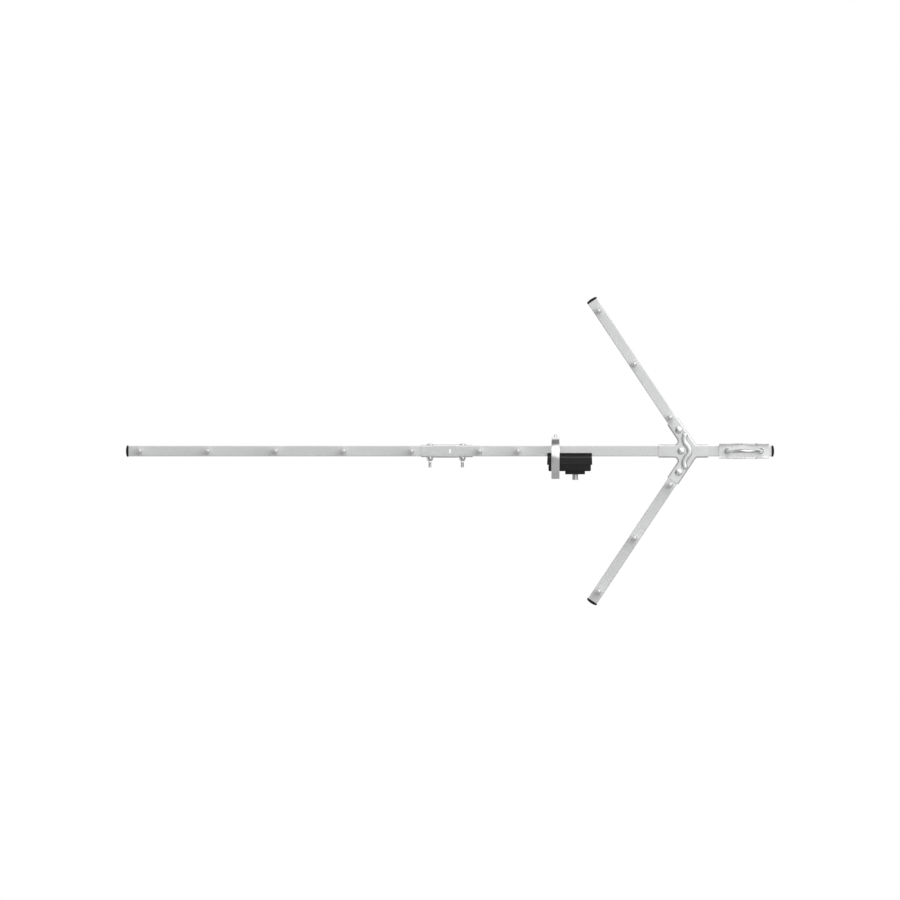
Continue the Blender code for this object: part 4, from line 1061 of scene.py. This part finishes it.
def box_base():
    """The lower shell: a rounded tray, a pad round the socket and two slots for the dipole."""
    low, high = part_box("box_base")
    side = (high.y - low.y) / 2
    wall, pad = BASE_WALL, PAD_HALF
    floor_z = FLOOR_BOTTOM + wall
    tray = eased(block((low.x, -side, FLOOR_BOTTOM), (high.x, side, high.z)), BASE_EDGE, 5, 40)
    tray = carved(tray, block((low.x + wall, wall - side, floor_z), (high.x - wall, side - wall, 0)))
    boss = block((PAD_FRONT, -pad, low.z), (PAD_REAR, pad, floor_z - MM))
    tray = carved(tray, eased(boss, PAD_EDGE, 4, 40), "UNION")
    corner = (PAD_FRONT + wall, wall - pad, low.z + wall)
    tray = carved(tray, block(corner, (PAD_REAR - wall, pad - wall, floor_z + MM)))
    strip_x = centre("folded_dipole").x
    half_x, half_y = extent("folded_dipole").x / 2 + TAB_CLEAR, STRIP / 2 + TAB_CLEAR
    tools = []
    for y in (-TAB_Y, TAB_Y):
        corner = (strip_x - half_x, y - half_y, 2 * FLOOR_BOTTOM)
        tools.append(block(corner, (strip_x + half_x, y + half_y, floor_z + MM)))

    def plug(radius, x, y, z, steps):
        tool = turned([(0, 0), (radius, 0), (radius, 2 * FLOOR_BOTTOM), (0, 2 * FLOOR_BOTTOM)], steps)
        tools.append(moved(tool, at(x, y, z)))

    plug(NECK_HOLE, centre("f_connector").x, 0, floor_z, ROUND)
    for x in (strip_x + WEEP_FRONT, high.x - WEEP_REAR):
        plug(WEEP_HOLE, x, WEEP_Y, floor_z + MM, 24)
    piece("box_base", carved(tray, merged(*tools)), at(0, BOOM.y, 0))


def f_connector():
    """The threaded socket, with its flange and rolled lip, and the insulator in its end."""
    low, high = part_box("f_connector")
    place = at(centre("f_connector").x, BOOM.y, 0)
    barrel, bore = SOCKET_RADIUS, SOCKET_BORE
    flange = extent("f_connector").x / 2
    seat = high.z - SOCKET_FLANGE
    top = ((bore, high.z), (flange, high.z), (flange, seat), (barrel, seat))
    lip = ((bore + 0.3 * MM, low.z), (bore, low.z + 0.3 * MM))
    rings, ends = ([circle(r, z) for r, z in profile] for profile in (top, lip))
    mesh = threaded(rings, barrel, seat - SOCKET_NECK, low.z, SOCKET_PITCH, ends, ROUND)
    piece("f_connector", mesh, place)
    low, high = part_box("connector_insulator")
    outer, inner = (high.x - low.x) / 2, 1 * MM
    edge, groove = 0.25 * MM, low.z + 0.5 * MM
    # its outside, a sunk ring in its end and the raised mouth round the contact
    ring = [(outer, high.z), (outer, low.z + edge), (outer - edge, low.z), (outer - 0.9 * MM, low.z)]
    ring += [(outer - MM, groove), (inner + 0.6 * MM, groove), (inner + 0.3 * MM, low.z + 0.2 * MM)]
    ring += [(inner, groove), (inner, high.z), ring[0]]
    piece("connector_insulator", turned(ring), place)


def inner_pieces():
    """The pieces shut in the box keep their frame shapes, with their own finishes."""
    screws = ("terminal_screw_left", "terminal_screw_right")
    for node in ("balun_board", "balun_core", "box_seal", "dipole_nut", "connector_contact", *screws):
        shown = frame["nodes"][node]
        for slot in shown.material_slots:
            slot.link = "OBJECT"
            slot.material = FINISHES[SLOTS[node]]


# ---- stage, light and camera

VIEW_MIDDLE = Vector((-450.05, 0, 1.68)) * MM
VIEW_WIDTH = 1.377
CAMERA_DISTANCE = 3
FLOOR_Z, FLOOR_RADIUS = -1.6, 20
ROOM = 0.46  # the room's light
# what lies over it: level, azimuth, elevation, and how many degrees it reaches at full level and in all
STUDIO = (
    (0.44, 0, -90, 40, 95),
    (1.0, 180, 14, 45, 80),
    (0.40, 180, -46, 40, 54),
    (0.72, -108, 5, 22, 45),
    (0.17, 98, 0, 14, 32),
    (0.22, -35, -8, 16, 36),
    (0.20, 180, 81, 18, 28),
    (1.14, 25, 38, 34, 43),
    (2.3, 5, 47, 7, 15),
)
KEY_PLACE, KEY_AIM, KEY_SIZE, KEY_POWER = (0.9, -1.9, 0.7), (0.1, 0, 0), 1.8, 10.5


def heading(azimuth, elevation):
    """From the object outward: azimuth 0 is towards the viewer and 90 to the viewer's right."""
    a, e = math.radians(azimuth), math.radians(elevation)
    return Vector((math.sin(a) * math.cos(e), -math.cos(a) * math.cos(e), math.sin(e)))


def world():
    """A soft studio: a grey room with pale panels and dark flags, and white paper behind the object."""
    made = bpy.data.worlds.new("studio")
    bpy.context.scene.world = made
    made.use_nodes = True
    tree = made.node_tree
    tree.nodes.clear()
    place = tree.nodes.new("ShaderNodeTexCoord").outputs["Generated"]
    level = ROOM
    for value, azimuth, elevation, full, none in STUDIO:
        inputs = {0: place, 1: heading(azimuth, elevation)}
        near = shader_node(tree, "ShaderNodeVectorMath", inputs, operation="DOT_PRODUCT")
        inputs = {"From Min": math.cos(math.radians(none)), "From Max": math.cos(math.radians(full))}
        inputs["Value"] = near.outputs["Value"]
        share = shader_node(tree, "ShaderNodeMapRange", inputs, interpolation_type="SMOOTHSTEP")
        inputs = {"Factor": share.outputs["Result"], "A": level, "B": value}
        level = shader_node(tree, "ShaderNodeMix", inputs).outputs["Result"]
    seen = tree.nodes.new("ShaderNodeLightPath").outputs["Is Camera Ray"]
    room = shader_node(tree, "ShaderNodeBackground", {"Color": level}).outputs[0]
    paper = shader_node(tree, "ShaderNodeBackground", {"Color": (1, 1, 1, 1)}).outputs[0]
    both = shader_node(tree, "ShaderNodeMixShader", {"Fac": seen, 1: room, 2: paper})
    shader_node(tree, "ShaderNodeOutputWorld", {"Surface": both.outputs["Shader"]})


def key_light():
    light = bpy.data.lights.new("key", "AREA")
    light.shape = "RECTANGLE"
    light.size = light.size_y = KEY_SIZE
    light.energy = KEY_POWER
    made = added("key", light)
    made.location = KEY_PLACE
    away = Vector(KEY_PLACE) - Vector(KEY_AIM)
    made.rotation_euler = away.to_track_quat("Z", "Y").to_euler()


def stage():
    """The pale floor, which reflections don't show."""
    work = bmesh.new()
    bmesh.ops.create_circle(work, cap_ends=True, segments=64, radius=FLOOR_RADIUS)
    floor = added("floor", finished(work))
    floor.location = (BOOM.x, BOOM.y, FLOOR_Z)
    paper = Finish("pale_floor", 0)
    paper.colour(paper.noise((3, 3, 3)), (0.86, 0.86, 0.86), (0.89, 0.89, 0.89))
    paper.shader.inputs["Roughness"].default_value = 0.9
    floor.data.materials.append(paper.material)
    floor.visible_glossy = False


def camera():
    lens = bpy.data.cameras.new("side_view")
    lens.type = "ORTHO"
    lens.ortho_scale = VIEW_WIDTH
    lens.clip_end = 20
    made = added("side_view", lens)
    made.location = VIEW_MIDDLE - CAMERA_DISTANCE * Y
    made.rotation_euler = (QUARTER, 0, 0)
    bpy.context.scene.camera = made
    bpy.context.scene.view_settings.view_transform = "Standard"


boom()
caps()
rods()
arms()
fasteners()
corner_bracket()
splice_sleeve()
clamp_bracket()
u_bolt()
folded_dipole()
dipole_fixing()
box_cover()
box_base()
f_connector()
inner_pieces()
world()
stage()
key_light()
camera()
